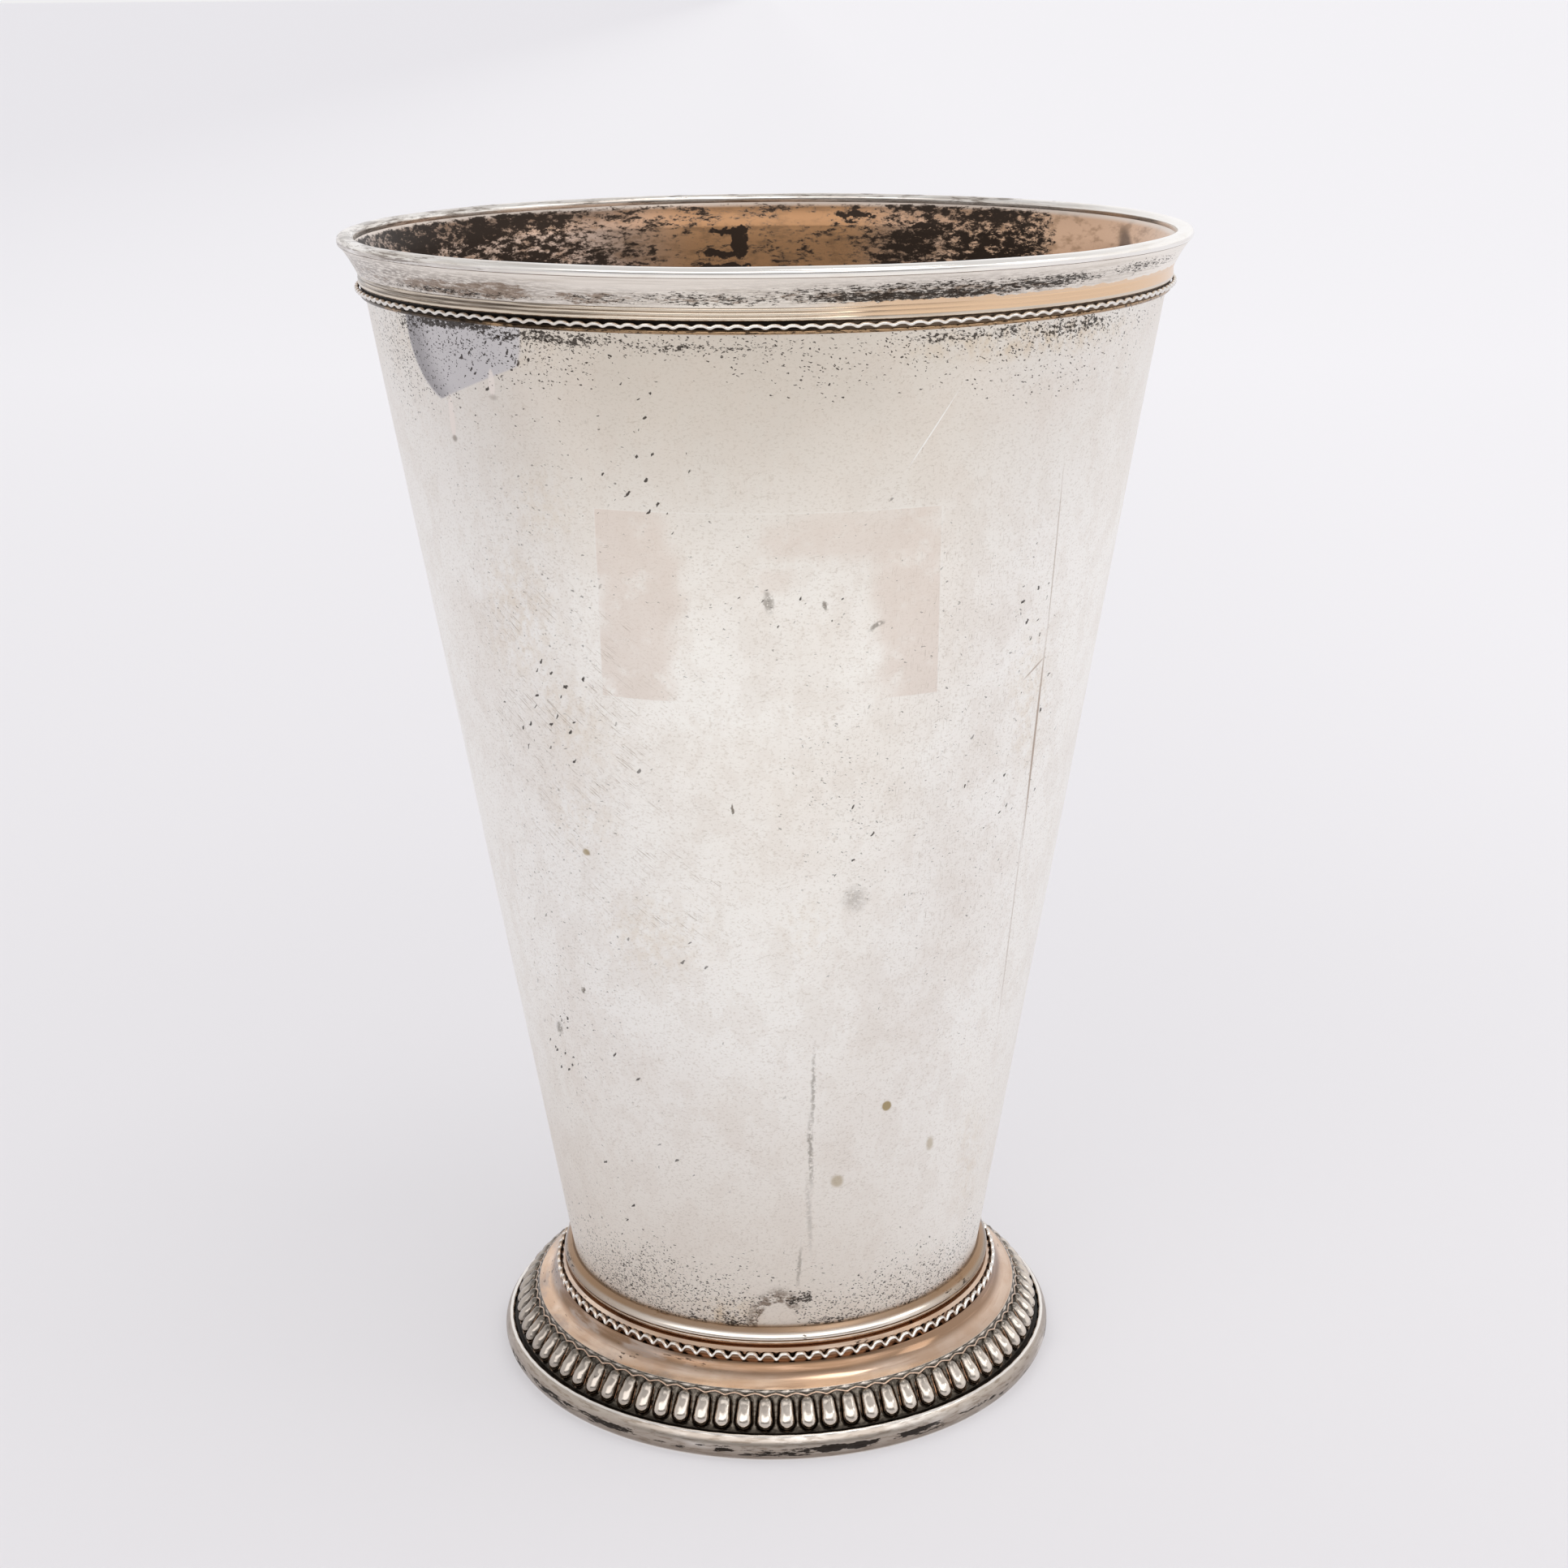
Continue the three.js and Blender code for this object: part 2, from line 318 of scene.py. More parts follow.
def spots(at, listed):  # several marks as one mask
    return anyOf(*[spot(at, *entry) for entry in listed])


def shaken(at, size, amount, seed=0):  # coordinates pushed about by noise, for ragged edges
    placed = node("Mapping", {
        "Vector": at, "Location": (seed * 13.7, seed * 8.3, 0), "Scale": (size, size, size)},
        vector_type="TEXTURE")
    noise = node("TexNoise", {"Vector": placed[0], "Scale": 1.0, "Detail": 4.0})
    centred = node("VectorMath", {0: noise["Color"], 1: (0.5, 0.5, 0.5)},
                   operation="SUBTRACT")
    push = node("VectorMath", {
        0: centred[0], 1: (amount, amount, amount), 2: at}, operation="MULTIPLY_ADD")
    return push[0]


def layered(colour, layers):  # colours laid over each other, each where its mask says
    for mask, text in layers:
        colour = node("Mix", {0: mask, 6: colour, 7: linear(text)}, data_type="RGBA")[2]
    return colour


def roughened(rough, layers):  # roughness laid over in the same way
    for mask, value in layers:
        rough = node("Mix", {0: mask, 2: rough, 3: value}, data_type="FLOAT")[0]
    return rough


# Metal of a base colour and roughness, each with its layers, and a fine relief whose depth is in mm
def finishMetal(material, base, layers, rough, dulled, relief=None, depth=0.0):
    colour = layered(linear(base), layers)
    feed = {"Base Color": colour, "Metallic": 1.0, "Roughness": roughened(rough, dulled)}
    if relief is not None:
        feed["Normal"] = node("Bump", {"Height": relief, "Distance": depth * mm, "Strength": 1.0})[0]
    shader = node("BsdfPrincipled", feed)
    node("OutputMaterial", {0: shader[0]})
    return material


# Zones of the wall, carried by its points: (arc, height), half sizes, strength, softness, turn
wallZones = {
    "pitted": [  # share of the fine cells that hold a pit
        ((-47, 133), (9, 7), 0.6, 0.7), ((-36, 134), (11, 3.4), 0.62, 0.7),
        ((-26, 132.5), (8, 3), 0.45, 0.7), ((-24, 134.2), (12, 1.2), 0.7, 0.6),
        ((-6, 133.9), (15, 1.0), 0.6, 0.7), ((6, 132), (6, 3), 0.22, 0.8),
        ((29, 133.6), (18, 2.2), 0.5, 0.7), ((33, 130.5), (12, 3), 0.2, 0.8),
        ((-17, 15.5), (13, 5.5), 0.75, 0.8), ((-7, 13.5), (6, 3), 0.7, 0.7), ((18, 14), (12, 4), 0.6, 0.8),
        ((-30, 112), (14, 26), 0.05, 0.8), ((-27, 70), (9, 34), 0.06, 0.8),
        ((24, 84), (12, 30), 0.04, 0.8), ((8, 82), (5, 9), 0.14, 0.9), ((0, 106), (19, 10), 0.03, 0.5),
    ],
    "holed": [  # share of the coarse cells that hold one
        ((-13, 119.5), (4.5, 5), 0.2, 0.7), ((-13.5, 127), (2.4, 3), 0.16, 0.7),
        ((-31, 133), (6, 4), 0.35, 0.8), ((31.7, 102), (3, 5), 0.3, 0.8), ((-27, 92), (6, 6), 0.14, 0.9),
        ((-29.5, 48), (2, 5), 0.3, 0.8), ((4, 106), (7, 3), 0.12, 0.5), ((-20, 60), (16, 40), 0.012, 0.7),
        ((15, 75), (14, 40), 0.01, 0.7), ((-22, 22), (6, 8), 0.1, 0.9), ((30, 90), (8, 20), 0.04, 0.8),
        ((9, 84), (4, 9), 0.05, 0.8),
    ],
    "scabs": [  # crowd of the ragged black
        ((-37, 135.0), (8, 0.7), 0.9, 0.5), ((-24, 134.4), (10, 0.8), 0.72, 0.6),
        ((-8, 133.9), (11, 0.4), 0.62, 0.7), ((22, 134.4), (9, 0.8), 0.62, 0.6),
        ((36, 134.2), (9, 1.1), 0.66, 0.7), ((-45, 134.5), (5, 1.2), 0.6, 0.7),
        ((-4.9, 14.2), (2.4, 1.5), 0.66, 0.7), ((3.4, 17.3), (1.9, 1.0), 0.7, 0.6),
        ((7, 13.6), (4, 0.7), 0.62, 0.7), ((-12, 13.4), (5, 0.8), 0.52, 0.8),
        ((20, 13.5), (8, 0.7), 0.5, 0.8), ((-20, 16), (6, 2.5), 0.44, 0.8),
    ],
    "tan": [
        ((-30.3, 102.7), (5, 7), 0.32, 0.8), ((-24, 92), (7, 4), 0.26, 0.8, -0.9),
        ((28, 31), (3, 6), 0.2, 0.8), ((33, 92), (3, 8), 0.3, 0.8), ((-14, 66), (6, 5), 0.25, 0.8),
        ((-23, 80), (5, 5), 0.2, 0.8), ((4, 68), (3, 4), 0.15, 0.8), ((-26, 116), (4, 4), 0.2, 0.8),
        ((31, 133.2), (13, 1.5), 0.5, 0.8), ((-6, 14.5), (3, 2), 0.5, 0.8),
        ((-36, 133), (10, 2), 0.4, 0.8),
    ],
    "paper": [  # where the paper of a label held
        ((-14.4, 105.75), (4.6, 14), 0.8, 0.3), ((-17, 98), (4, 6), 0.8, 0.3),
        ((-16, 113), (5, 6), 0.8, 0.3), ((15.6, 105.75), (4.2, 14), 0.8, 0.3),
        ((17, 98), (4.6, 6), 0.8, 0.3), ((8, 113.6), (8.4, 2.6), 0.7, 0.3),
        ((0.6, 109), (2.7, 1.2), 0.5, 0.3),
    ],
    "slant": [((-25, 90), (12, 18), 1.0, 0.5), ((-14, 74), (12, 8), 0.8, 0.5)],
    "upright": [((24, 84), (14, 34), 1.0, 0.6)],
}
# Small marks, drawn by the wall's finish in the same terms
wallMarks = {
    "ochre": [((13.6, 43), (0.6, 0.65), 0.9, 0.2), ((7.4, 33.6), (0.75, 0.8), 0.55, 0.4),
              ((20, 36), (0.5, 0.9), 0.5, 0.5), ((-22.3, 75.3), (0.5, 0.4), 0.7, 0.4)],
    "grey": [
        ((4.5, 46.6), (0.2, 4.6), 0.55, 0.6, -0.03), ((4.2, 38), (0.26, 4.2), 0.6, 0.6, 0.02),
        ((4.0, 29), (0.3, 4.4), 0.3, 0.7, 0.04), ((2.8, 21.9), (0.22, 2.4), 0.5, 0.6, -0.08),
        ((9.3, 71), (1.1, 1.2), 0.4, 0.9), ((-0.1, 106.7), (0.5, 1.2), 0.6, 0.5, 0.1),
        ((5.9, 106.1), (0.3, 0.5), 0.8, 0.4), ((11.6, 103.6), (0.9, 0.3), 0.7, 0.5, 0.5),
        ((-4.3, 82.6), (0.16, 0.6), 0.9, 0.3), ((-24.2, 56.7), (0.3, 0.4), 0.9, 0.3),
        ((-29.5, 49.9), (0.6, 0.8), 0.7, 0.5),
    ],
    "groove": [  # long scratches
        ((35.6, 108), (0.11, 9), 0.5, 0.6, -0.03), ((34.6, 86), (0.2, 11), 0.75, 0.5, -0.05),
        ((33, 62), (0.12, 12), 0.4, 0.7, -0.06), ((33.4, 95.4), (1.9, 0.12), 0.6, 0.6, 0.5),
    ],
    "bright": [((17.5, 124.5), (0.07, 4.4), 0.7, 0.5, -0.62)],
    "drips": [((-38.6, 124.6), (0.5, 2.5), 0.9, 0.15), ((-31.4, 129), (0.45, 1.5), 0.8, 0.2)],
    "dripEnds": [((-38.5, 122.2), (0.42, 0.35), 0.7, 0.5), ((-31.3, 127.5), (0.5, 0.3), 0.4, 0.6)],
}


# Old silver with a worn satin face: near white, a warm film that thickens towards the rim, a warm tone
# towards the foot that is partly film and partly painted shade, hair scratches, and black pits that crowd
# under the rim and above the foot
def wornWallSilver():
    material, at, *zones = startMaterial("wornWallSilver", *wallZones)
    flat, arc, height = unrolled()
    zone = dict(zip(wallZones, zones))
    ragged = shaken(shaken(flat, 0.8, 0.8, 2), 0.25, 0.25, 4)
    # clean half-round patch over the collar, with a brown arc over its top and left
    bare = outward(ragged, (0.2, 12.4), (2.6, 4.2))
    keep = between(bare, (0.95, 1.05))
    slantLine = node("VectorMath", {0: flat, 1: (-0.6, 1, 0)}, operation="DOT_PRODUCT")["Value"]
    arcRim = allOf(between(bare, (0.95, 1.05), (1.2, 1.7), 0.8), between(slantLine, (13, 16)),
                   mottle(flat, (0.9, 0.6, 1), 0.38, 0.56, detail=6, rough=0.7, seed=13))
    topBand = between(height, (127, 136), share=0.1)
    lowBand = between(height, fall=(12, 28), share=0.46)
    clump = mottle(at, (7, 7, 5), 0.3, 0.66, detail=3, seed=3)
    bands = allOf(anyOf(topBand, lowBand), clump)
    pitted = allOf(summed(bands, zone["pitted"], 0.004), keep)
    fine = pits(ragged, (0.42, 0.18), pitted, 0.4, 0.92, -0.25)
    coarse = pits(ragged, (1.3, 0.6), allOf(summed(zone["holed"], 0.007), keep), 0.27, 0.9, 0.9)
    scabbed = allOf(zone["scabs"], keep)
    scabs = stipple(flat, (0.5, 0.3, 1), scabbed, 0.88, 0.08, detail=4, rough=0.65, seed=1)
    blacker = summed(
        0.6, between(height, (120, 130), share=0.38), between(height, fall=(18, 30), share=0.38))
    # bare patch under the rim: an oval cut by a slanting line, darker along its left edge
    rise = node("VectorMath", {0: flat, 1: (-0.343, 0.939, 0)}, operation="DOT_PRODUCT")
    above = between(rise["Value"], (132.4, 132.7))
    patch = allOf(spot(flat, (-36.5, 134.5), (9.6, 8.7), 1.0, 0.03), above)
    inner = spot(flat, (-34.0, 134.5), (8.6, 9), 1.0, 0.25)
    edge = allOf(patch, less(inner), between(arc, fall=(-40, -36)))
    drips, dripEnds = [spots(flat, wallMarks[name]) for name in ("drips", "dripEnds")]
    # ghost of a label: thin pale outline and a rosy tone where its paper held
    frameOut = outward(flat, (0, 105.75), (19.05, 10.75), 0, True)
    frameLine = between(frameOut, (0.985, 0.99), (0.996, 1.002), 0.28)
    held = allOf(zone["paper"], between(frameOut, fall=(0.99, 0.996)),
                 mottle(at, (3, 3, 3), 0.2, 0.5, seed=9))
    front = summed(0.35, between(arc, (-50, -16), (0, 50), 0.65))
    satin = mottle(at, (9, 9, 9), 0.35, 0.7, seed=6)
    blotched = mottle(at, (5, 5, 5), 0.44, 0.6, seed=14)
    blotch = mottle(at, (4, 4, 6), 0.49, 0.57, 0.14, detail=9, rough=0.68, seed=2)
    layers = [
        (allOf(between(height, (100, 134), share=0.85), front), "#D2C8BB"),
        # darker towards the foot, partly film and partly painted shade, kept lighter on the right
        (allOf(between(height, fall=(12, 58), share=0.55),
               less(between(arc, (4, 26), (50, 74), 0.65))), "#DACDBC"),
        (mottle(at, (22, 22, 22), 0.45, 0.68, 0.35, seed=1), "#EAE1D7"),
        (blotch, "#DACDC0"),
        (mottle(at, (0.34, 0.34, 0.22), 0.53, 0.64, 0.34, detail=4, seed=5), "#C2B7A9"),
        (allOf(zone["tan"],
               mottle(flat, (1.2, 1.6, 1), 0.36, 0.66, 0.8, detail=7, rough=0.68, seed=4)), "#CDAF7E"),
        (allOf(held, 0.75), "#E4D6CB"),
        (frameLine, "#FBF9F5"),
        (allOf(zone["slant"], blotched,
               scratches(flat, 0.12, 2.8, 0.58, 0.66, 0.75, 3, 0.95, 6)), "#9C8B78"),
        (allOf(zone["upright"], scratches(flat, 0.1, 1.6, 0.62, 0.72, 0.6, 2, -0.08, 7)), "#A89B8C"),
        (allOf(clump, scratches(ragged, 0.08, 1.8, 0.64, 0.7, 0.5, 3, 1.9, 8)), "#A99C8B"),
        (allOf(blotched, scratches(ragged, 0.08, 2.6, 0.65, 0.71, 0.5, 3, 0.15, 3)), "#AC9F8F"),
        (patch, "#CFCCCC"), (edge, "#A3A0A1"), (drips, "#F3EAE2"), (dripEnds, "#8F857A"),
        (arcRim, "#6E5844"),
        (spots(flat, wallMarks["ochre"]), "#A89468"),
        (allOf(spots(ragged, wallMarks["grey"]),
               mottle(flat, (0.5, 0.5, 1), 0.35, 0.5, seed=10)), "#7F776D"),
        (spots(flat, wallMarks["groove"]), "#A08672"),
        (spots(flat, wallMarks["bright"]), "#FFFFFF"),
        (anyOf(allOf(fine, blacker), coarse), "#2F2823"),
        (scabs, "#332B25"),
    ]
    grain = mottle(at, (0.5, 0.5, 0.4), 0.2, 0.8, detail=3, seed=7)
    dulled = [(satin, 0.42), (patch, 0.22), (scabs, 0.6)]
    return finishMetal(material, "#FDFBF6", layers, 0.34, dulled, grain, 0.004)


# Marks of the flare: (arc, height), half sizes, strength, softness
flareMarks = {
    "smudged": [
        ((-56, 139.1), (12, 1.0), 0.62, 0.6), ((-37, 138.9), (9, 0.9), 0.8, 0.4),
        ((-29, 139.1), (5, 1.0), 0.85, 0.3), ((-18, 138.8), (5, 0.75), 0.74, 0.5),
        ((-6, 138.9), (9, 0.7), 0.58, 0.6), ((16, 139.1), (20, 0.9), 0.7, 0.5),
    ],
    "blackened": [
        ((15, 138.9), (14, 0.65), 0.78, 0.5), ((18, 139.4), (22, 1.1), 0.6, 0.5),
        ((31, 139.4), (9, 0.8), 0.68, 0.5), ((48, 139.7), (12, 0.9), 0.56, 0.6),
        ((-6, 138.9), (11, 0.9), 0.57, 0.6), ((-36, 138.5), (14, 0.5), 0.6, 0.6),
        ((-17, 138.7), (6, 0.6), 0.55, 0.6),
    ],
    "hazy": [
        ((-52, 139.3), (18, 1.7), 1.0, 0.6), ((-34, 139.1), (13, 1.4), 0.9, 0.6),
        ((-17, 138.8), (8, 1.0), 0.6, 0.6), ((18, 139.3), (24, 1.4), 0.6, 0.6),
    ],
}


# The same silver drawn out at the mouth: brushed round the flare, grey-brown film and black tarnish left in
# its hollow, and bare coppery metal where the right half was rubbed
def flareSilver():
    material, at = startMaterial("flareSilver")
    flat, arc, height = unrolled()
    loose = shaken(flat, 1.2, 0.8, 5)
    smudged, blackened = [spots(loose, flareMarks[name]) for name in ("smudged", "blackened")]
    aged = allOf(between(node("SeparateXYZ", {0: at})[1], (8, 26)),
                 between(height, (138.0, 138.6), (139.4, 140.4)),
                 mottle(at, (13, 13, 2), 0.42, 0.6, 0.7, detail=3, seed=17))
    smudged, blackened = anyOf(smudged, aged), anyOf(blackened, allOf(aged, 0.86))
    wavy = node("SeparateXYZ", {0: loose})[1]
    rubbed = allOf(between(arc, (2, 14), (64, 74)), between(wavy, fall=(138.36, 138.46)))
    hazy = spots(flat, flareMarks["hazy"])
    haze = allOf(hazy, mottle(flat, (1.3, 0.16, 1), 0.36, 0.6, 0.85, detail=8, rough=0.72, seed=16))
    film = stipple(flat, (1.6, 0.4, 1), smudged, 0.8, 0.12, detail=9, rough=0.75, seed=14)
    shade = mottle(flat, (0.8, 0.2, 1), 0.4, 0.6, 0.7, detail=8, rough=0.74, seed=11)
    tarnish = stipple(flat, (0.65, 0.14, 1), blackened, 0.92, 0.04, detail=6, rough=0.72, seed=12)
    layers = [
        (mottle(at, (14, 14, 0.22), 0.46, 0.7, 0.5, detail=6, seed=12), "#CDC3B5"),
        (haze, "#7F736A"),
        (film, "#A08D7C"),
        (allOf(film, shade), "#6F5D4E"),
        (tarnish, "#2E2722"),
        (allOf(rubbed, mottle(at, (8, 8, 0.2), 0.2, 0.4, 0.95, seed=15)), "#EBCBA9"),
    ]
    return finishMetal(material, "#F6EFE5", layers, 0.27, [(tarnish, 0.5)])


# Inside of the cup: coppery silver that nobody polishes, under black-brown tarnish with ragged edges,
# thickest on the left and gone at the far right; deeper down a plain satin silver with stains
def tarnishedLining():
    material, at = startMaterial("tarnishedLining")
    across, _, up = node("SeparateXYZ", {0: at})
    crowd = summed(
        0.36, between(across, fall=(-34, -6), share=0.27), between(across, (8, 22), share=0.26),
        mottle(at, (7, 7, 3), 0.4, 0.65, 0.24, detail=3, seed=21))
    block = spots(shaken(at, 1.0, 2.0, 3), [
        ((-3.4, 46, 136), (1.1, 20, 2.4), 0.9, 0.3), ((-5.6, 46, 137.4), (2.4, 20, 0.5), 0.9, 0.3),
        ((-5.6, 46, 134.6), (3.2, 20, 0.5), 0.9, 0.3), ((-5.4, 46, 132.8), (4, 20, 0.5), 0.9, 0.3),
        ((21, 43, 138.4), (1.6, 20, 0.4), 0.9, 0.3), ((12, 45, 139.4), (3, 20, 0.5), 0.9, 0.4),
        ((29, 38, 137), (3, 20, 1), 0.8, 0.5)])
    covered = allOf(between(across, fall=(35, 39)), between(up, fall=(140.6, 141.5)))
    depth = between(up, fall=(106, 130))
    crowd = allOf(anyOf(crowd, block), covered, less(allOf(depth, 0.32)))
    grain = {"detail": 10, "rough": 0.78, "seed": 22}
    film = stipple(at, (1.5, 1.5, 0.6), summed(crowd, 0.1), 0.7, 0.06, **grain)
    tarnish = stipple(at, (1.5, 1.5, 0.6), crowd, 0.95, 0.05, **grain)
    # painted reflection: a dark brown wedge inside the cup, on the far right
    darkReflection = spot(at, (44, 14, 136), (0.7, 8, 4), 0.8, 0.3)
    layers = [
        (between(across, (-24, -8), (10, 24)), "#BD9068"),
        (between(across, (10, 28)), "#CDAA8E"),
        (mottle(at, (3, 3, 1.2), 0.48, 0.66, 0.6, detail=6, seed=24), "#8A6B50"),
        (allOf(between(up, (137.6, 138.6), (140.4, 141.0), 0.6),
               between(across, fall=(18, 34))), "#6E533E"),
        (allOf(depth, 0.9), "#D6CCBF"),
        # painted reflection: a pale band at the top of the lining, just under the lip
        (between(up, (140.4, 141.0), share=0.8), "#DDD2C8"),
        # dark painted reflection on the far right
        (darkReflection, "#4F3A2C"),
        (film, "#6A594C"), (tarnish, "#302823"),
    ]
    return finishMetal(material, "#BFA899", layers, 0.2, [(depth, 0.36), (tarnish, 0.5)])


# Drawn silver wire, kept bright by wear: brown where it starts to dip and where shade is painted, broken
# black in the depths, a few flecks, and painted shade towards both sides
def brightWireSilver(name, base, brown, black, rough, fleck=0.3, dullAndShade=0.2):
    material, at, tarnishAndShadeLevel = startMaterial(name, "tarnishAndShade")
    across = node("SeparateXYZ", {0: at})[0]
    crowd = mottle(at, (6, 6, 2), 0.45, 0.7, fleck, seed=33)
    layers = [
        (mottle(at, (5, 5, 2), 0.45, 0.75, 0.4, seed=31), "#D9CEC0"),
        (mottle(at, (3, 3, 0.25), 0.5, 0.75, 0.45, detail=5, seed=32), "#B3A594"),
        # painted shade towards the left and the right side
        (between(across, fall=(-26, -8), share=dullAndShade), "#8A7562"),
        (between(across, (12, 26), share=dullAndShade), "#80694F"),
        (stipple(at, (0.9, 0.9, 0.16), crowd, 0.85, detail=4, seed=34), "#2A231E"),
        # brown for light tarnish and for painted shade that the mark carries, black where it is strong
        (between(tarnishAndShadeLevel, (0.05, 0.5), share=0.85), brown),
        (allOf(between(tarnishAndShadeLevel, (0.55, 0.9)), mottle(at, (2.4, 2.4, 2.4), 0.32, 0.44, seed=35)), black),
    ]
    return finishMetal(material, base, layers, rough, [(tarnishAndShadeLevel, 0.45)])


# Lip: polished by use at the front, streaked grey-brown at the left and along the back, painted shade in
# its groove
def lipSilver():
    material, at, tarnishAndShadeLevel = startMaterial("polishedLipSilver", "tarnishAndShade")
    across, back, _ = node("SeparateXYZ", {0: at})
    dullAndShade = anyOf(between(across, fall=(-40, -14), share=0.9), between(back, (10, 40), share=0.8))
    streaks = stipple(at, (4, 4, 0.26), allOf(dullAndShade, 0.68), 0.7, 0.1, detail=7, rough=0.68, seed=37)
    layers = [
        (mottle(at, (6, 6, 0.3), 0.45, 0.75, 0.4, detail=4, seed=36), "#DCD1C3"),
        (allOf(dullAndShade, mottle(at, (9, 9, 0.5), 0.35, 0.65, 0.7, detail=4, seed=38)), "#A89A8B"),
        (streaks, "#6A5C50"),
        # painted shade in the groove under the bead and along the lip's inner underside
        (between(tarnishAndShadeLevel, (0.2, 0.9), share=0.75), "#8C7A69"),
    ]
    return finishMetal(material, "#F6F3EE", layers, 0.14, [(dullAndShade, 0.22)])


# Reeded band: silver reeds with brown in their grooves; rubbed to smooth copper on the right,
# black behind the zigzag wire on the left and in front
def rimBandSilver():
    material, at, tarnishAndShadeLevel = startMaterial("rimBandSilver", "tarnishAndShade")
    _, arc, height = unrolled()
    rubbed = between(arc, (2, 14), (64, 74))
    reedZone = between(height, (136.95, 137.0))
    low = between(height, fall=(135.7, 135.74))
    black = allOf(between(tarnishAndShadeLevel, (0.55, 0.9)), less(allOf(rubbed, 0.55)))
    layers = [
        (mottle(at, (8, 8, 0.3), 0.45, 0.7, 0.5, detail=5, seed=71), "#C9BBA8"),
        (between(tarnishAndShadeLevel, (0.05, 0.5), share=0.85), "#7B6552"),
        (allOf(reedZone, between(arc, (-110, -70), (-26, -8), 0.75),
               mottle(at, (9, 9, 0.16), 0.36, 0.6, detail=6, seed=75)), "#4A4038"),
        (black, "#1F1A17"),
        (allOf(rubbed, reedZone, mottle(at, (8, 8, 0.2), 0.2, 0.4, 0.95, seed=72)), "#EAC8A4"),
        (low, "#AA8D6E"),
        (stipple(at, (0.9, 0.9, 0.14), allOf(low, 0.52), 0.9, detail=5, rough=0.68, seed=74), "#2B221C"),
        (allOf(low, between(arc, (-110, -70), (-24, -12), 0.85),
               mottle(at, (4, 4, 4), 0.35, 0.5, seed=73)), "#241E1A"),
    ]
    return finishMetal(material, "#DDD0BF", layers, 0.2, [(tarnishAndShadeLevel, 0.4)])


# Spun cove: smooth silver with a rose to golden cast, streaked round, a few black nicks low down, painted
# shade on its upper part, and tarnish with painted shade under the wire
def roseSpunSilver():
    material, at, tarnishAndShadeLevel = startMaterial("roseSpunSilver", "tarnishAndShade")
    across, _, up = node("SeparateXYZ", {0: at})
    left = between(across, fall=(-20, 0))
    crowd = summed(mottle(at, (6, 6, 2), 0.45, 0.7, 0.4, seed=43), allOf(left, 0.1))
    layers = [
        (mottle(at, (14, 14, 6), 0.4, 0.62, 0.7, seed=41), "#D2AB8A"),
        # painted shade: the upper part of the cove, below the ledge, darker brown
        (between(up, (7.72, 8.5), (9.4, 9.5), 0.95), "#80644D"),
        (allOf(left, mottle(at, (7, 7, 1.2), 0.42, 0.62, 0.75, detail=5, seed=46)), "#B5A69C"),
        (between(across, (6, 24), share=0.42), "#A0826B"),
        (mottle(at, (9, 9, 0.3), 0.48, 0.72, 0.55, detail=6, seed=42), "#B7967E"),
        (stipple(at, (1.2, 1.2, 0.2), crowd, 0.85, detail=4, rough=0.65, seed=44), "#3A2C22"),
        # brown and black from the mark: tarnish with painted shade under the wire
        (between(tarnishAndShadeLevel, (0.05, 0.5), share=0.8), "#8C6A4F"),
        (allOf(between(tarnishAndShadeLevel, (0.55, 0.95)), mottle(at, (3, 3, 3), 0.36, 0.5, seed=47)), "#1E1814"),
    ]
    satin = mottle(at, (6, 6, 1), 0.4, 0.7, seed=45)
    return finishMetal(material, "#F3DCC8", layers, 0.13, [(satin, 0.24)])


# Chased band: bright lobes with grey heads and painted shade on their flanks, a rosy thread round each,
# grey-black in the gaps
def chasedGadroonSilver():
    material, at, tarnishAndShadeLevel, thread = startMaterial("chasedGadroonSilver", "tarnishAndShade", "thread")
    bed = between(tarnishAndShadeLevel, (0.05, 0.6))
    crowd = mottle(at, (4, 4, 2), 0.45, 0.7, 0.3, seed=53)
    layers = [
        (mottle(at, (3, 3, 3), 0.45, 0.75, 0.5, seed=51), "#BDB0A3"),
        (between(node("SeparateXYZ", {0: at})[0], fall=(-26, -6), share=0.4), "#6A6058"),
        (between(thread, (0.2, 0.8), share=0.85), "#DDB79B"),
        (stipple(at, (0.5, 0.5, 0.4), crowd, 0.8, detail=3, seed=54), "#2A231E"),
        (bed, "#5A534A"),
        (allOf(bed, mottle(at, (0.5, 0.5, 0.4), 0.42, 0.6, 0.75, seed=56)), "#29241F"),
        (between(tarnishAndShadeLevel, (0.6, 0.95)), "#24201C"),
    ]
    grain = mottle(at, (0.9, 0.9, 0.9), 0.3, 0.7, detail=2, seed=55)
    return finishMetal(material, "#D6CCC1", layers, 0.14, [(tarnishAndShadeLevel, 0.4)], grain, 0.008)


footScabs = [  # arc on the foot's side, height, half sizes, strength, softness
    ((5.4, 1.6), (3.2, 0.5), 1.0, 0.4), ((-15, 1.6), (3.2, 0.5), 0.85, 0.6),
    ((-4.6, 1.5), (1.0, 0.5), 0.85, 0.6), ((12.3, 1.7), (2.6, 0.5), 0.9, 0.5),
    ((-23, 1.6), (2.2, 0.6), 0.8, 0.6), ((-9, 1.3), (2, 0.4), 0.6, 0.7), ((-29, 1.6), (3, 0.6), 0.7, 0.6),
    ((19, 1.7), (3, 0.5), 0.6, 0.7),
]


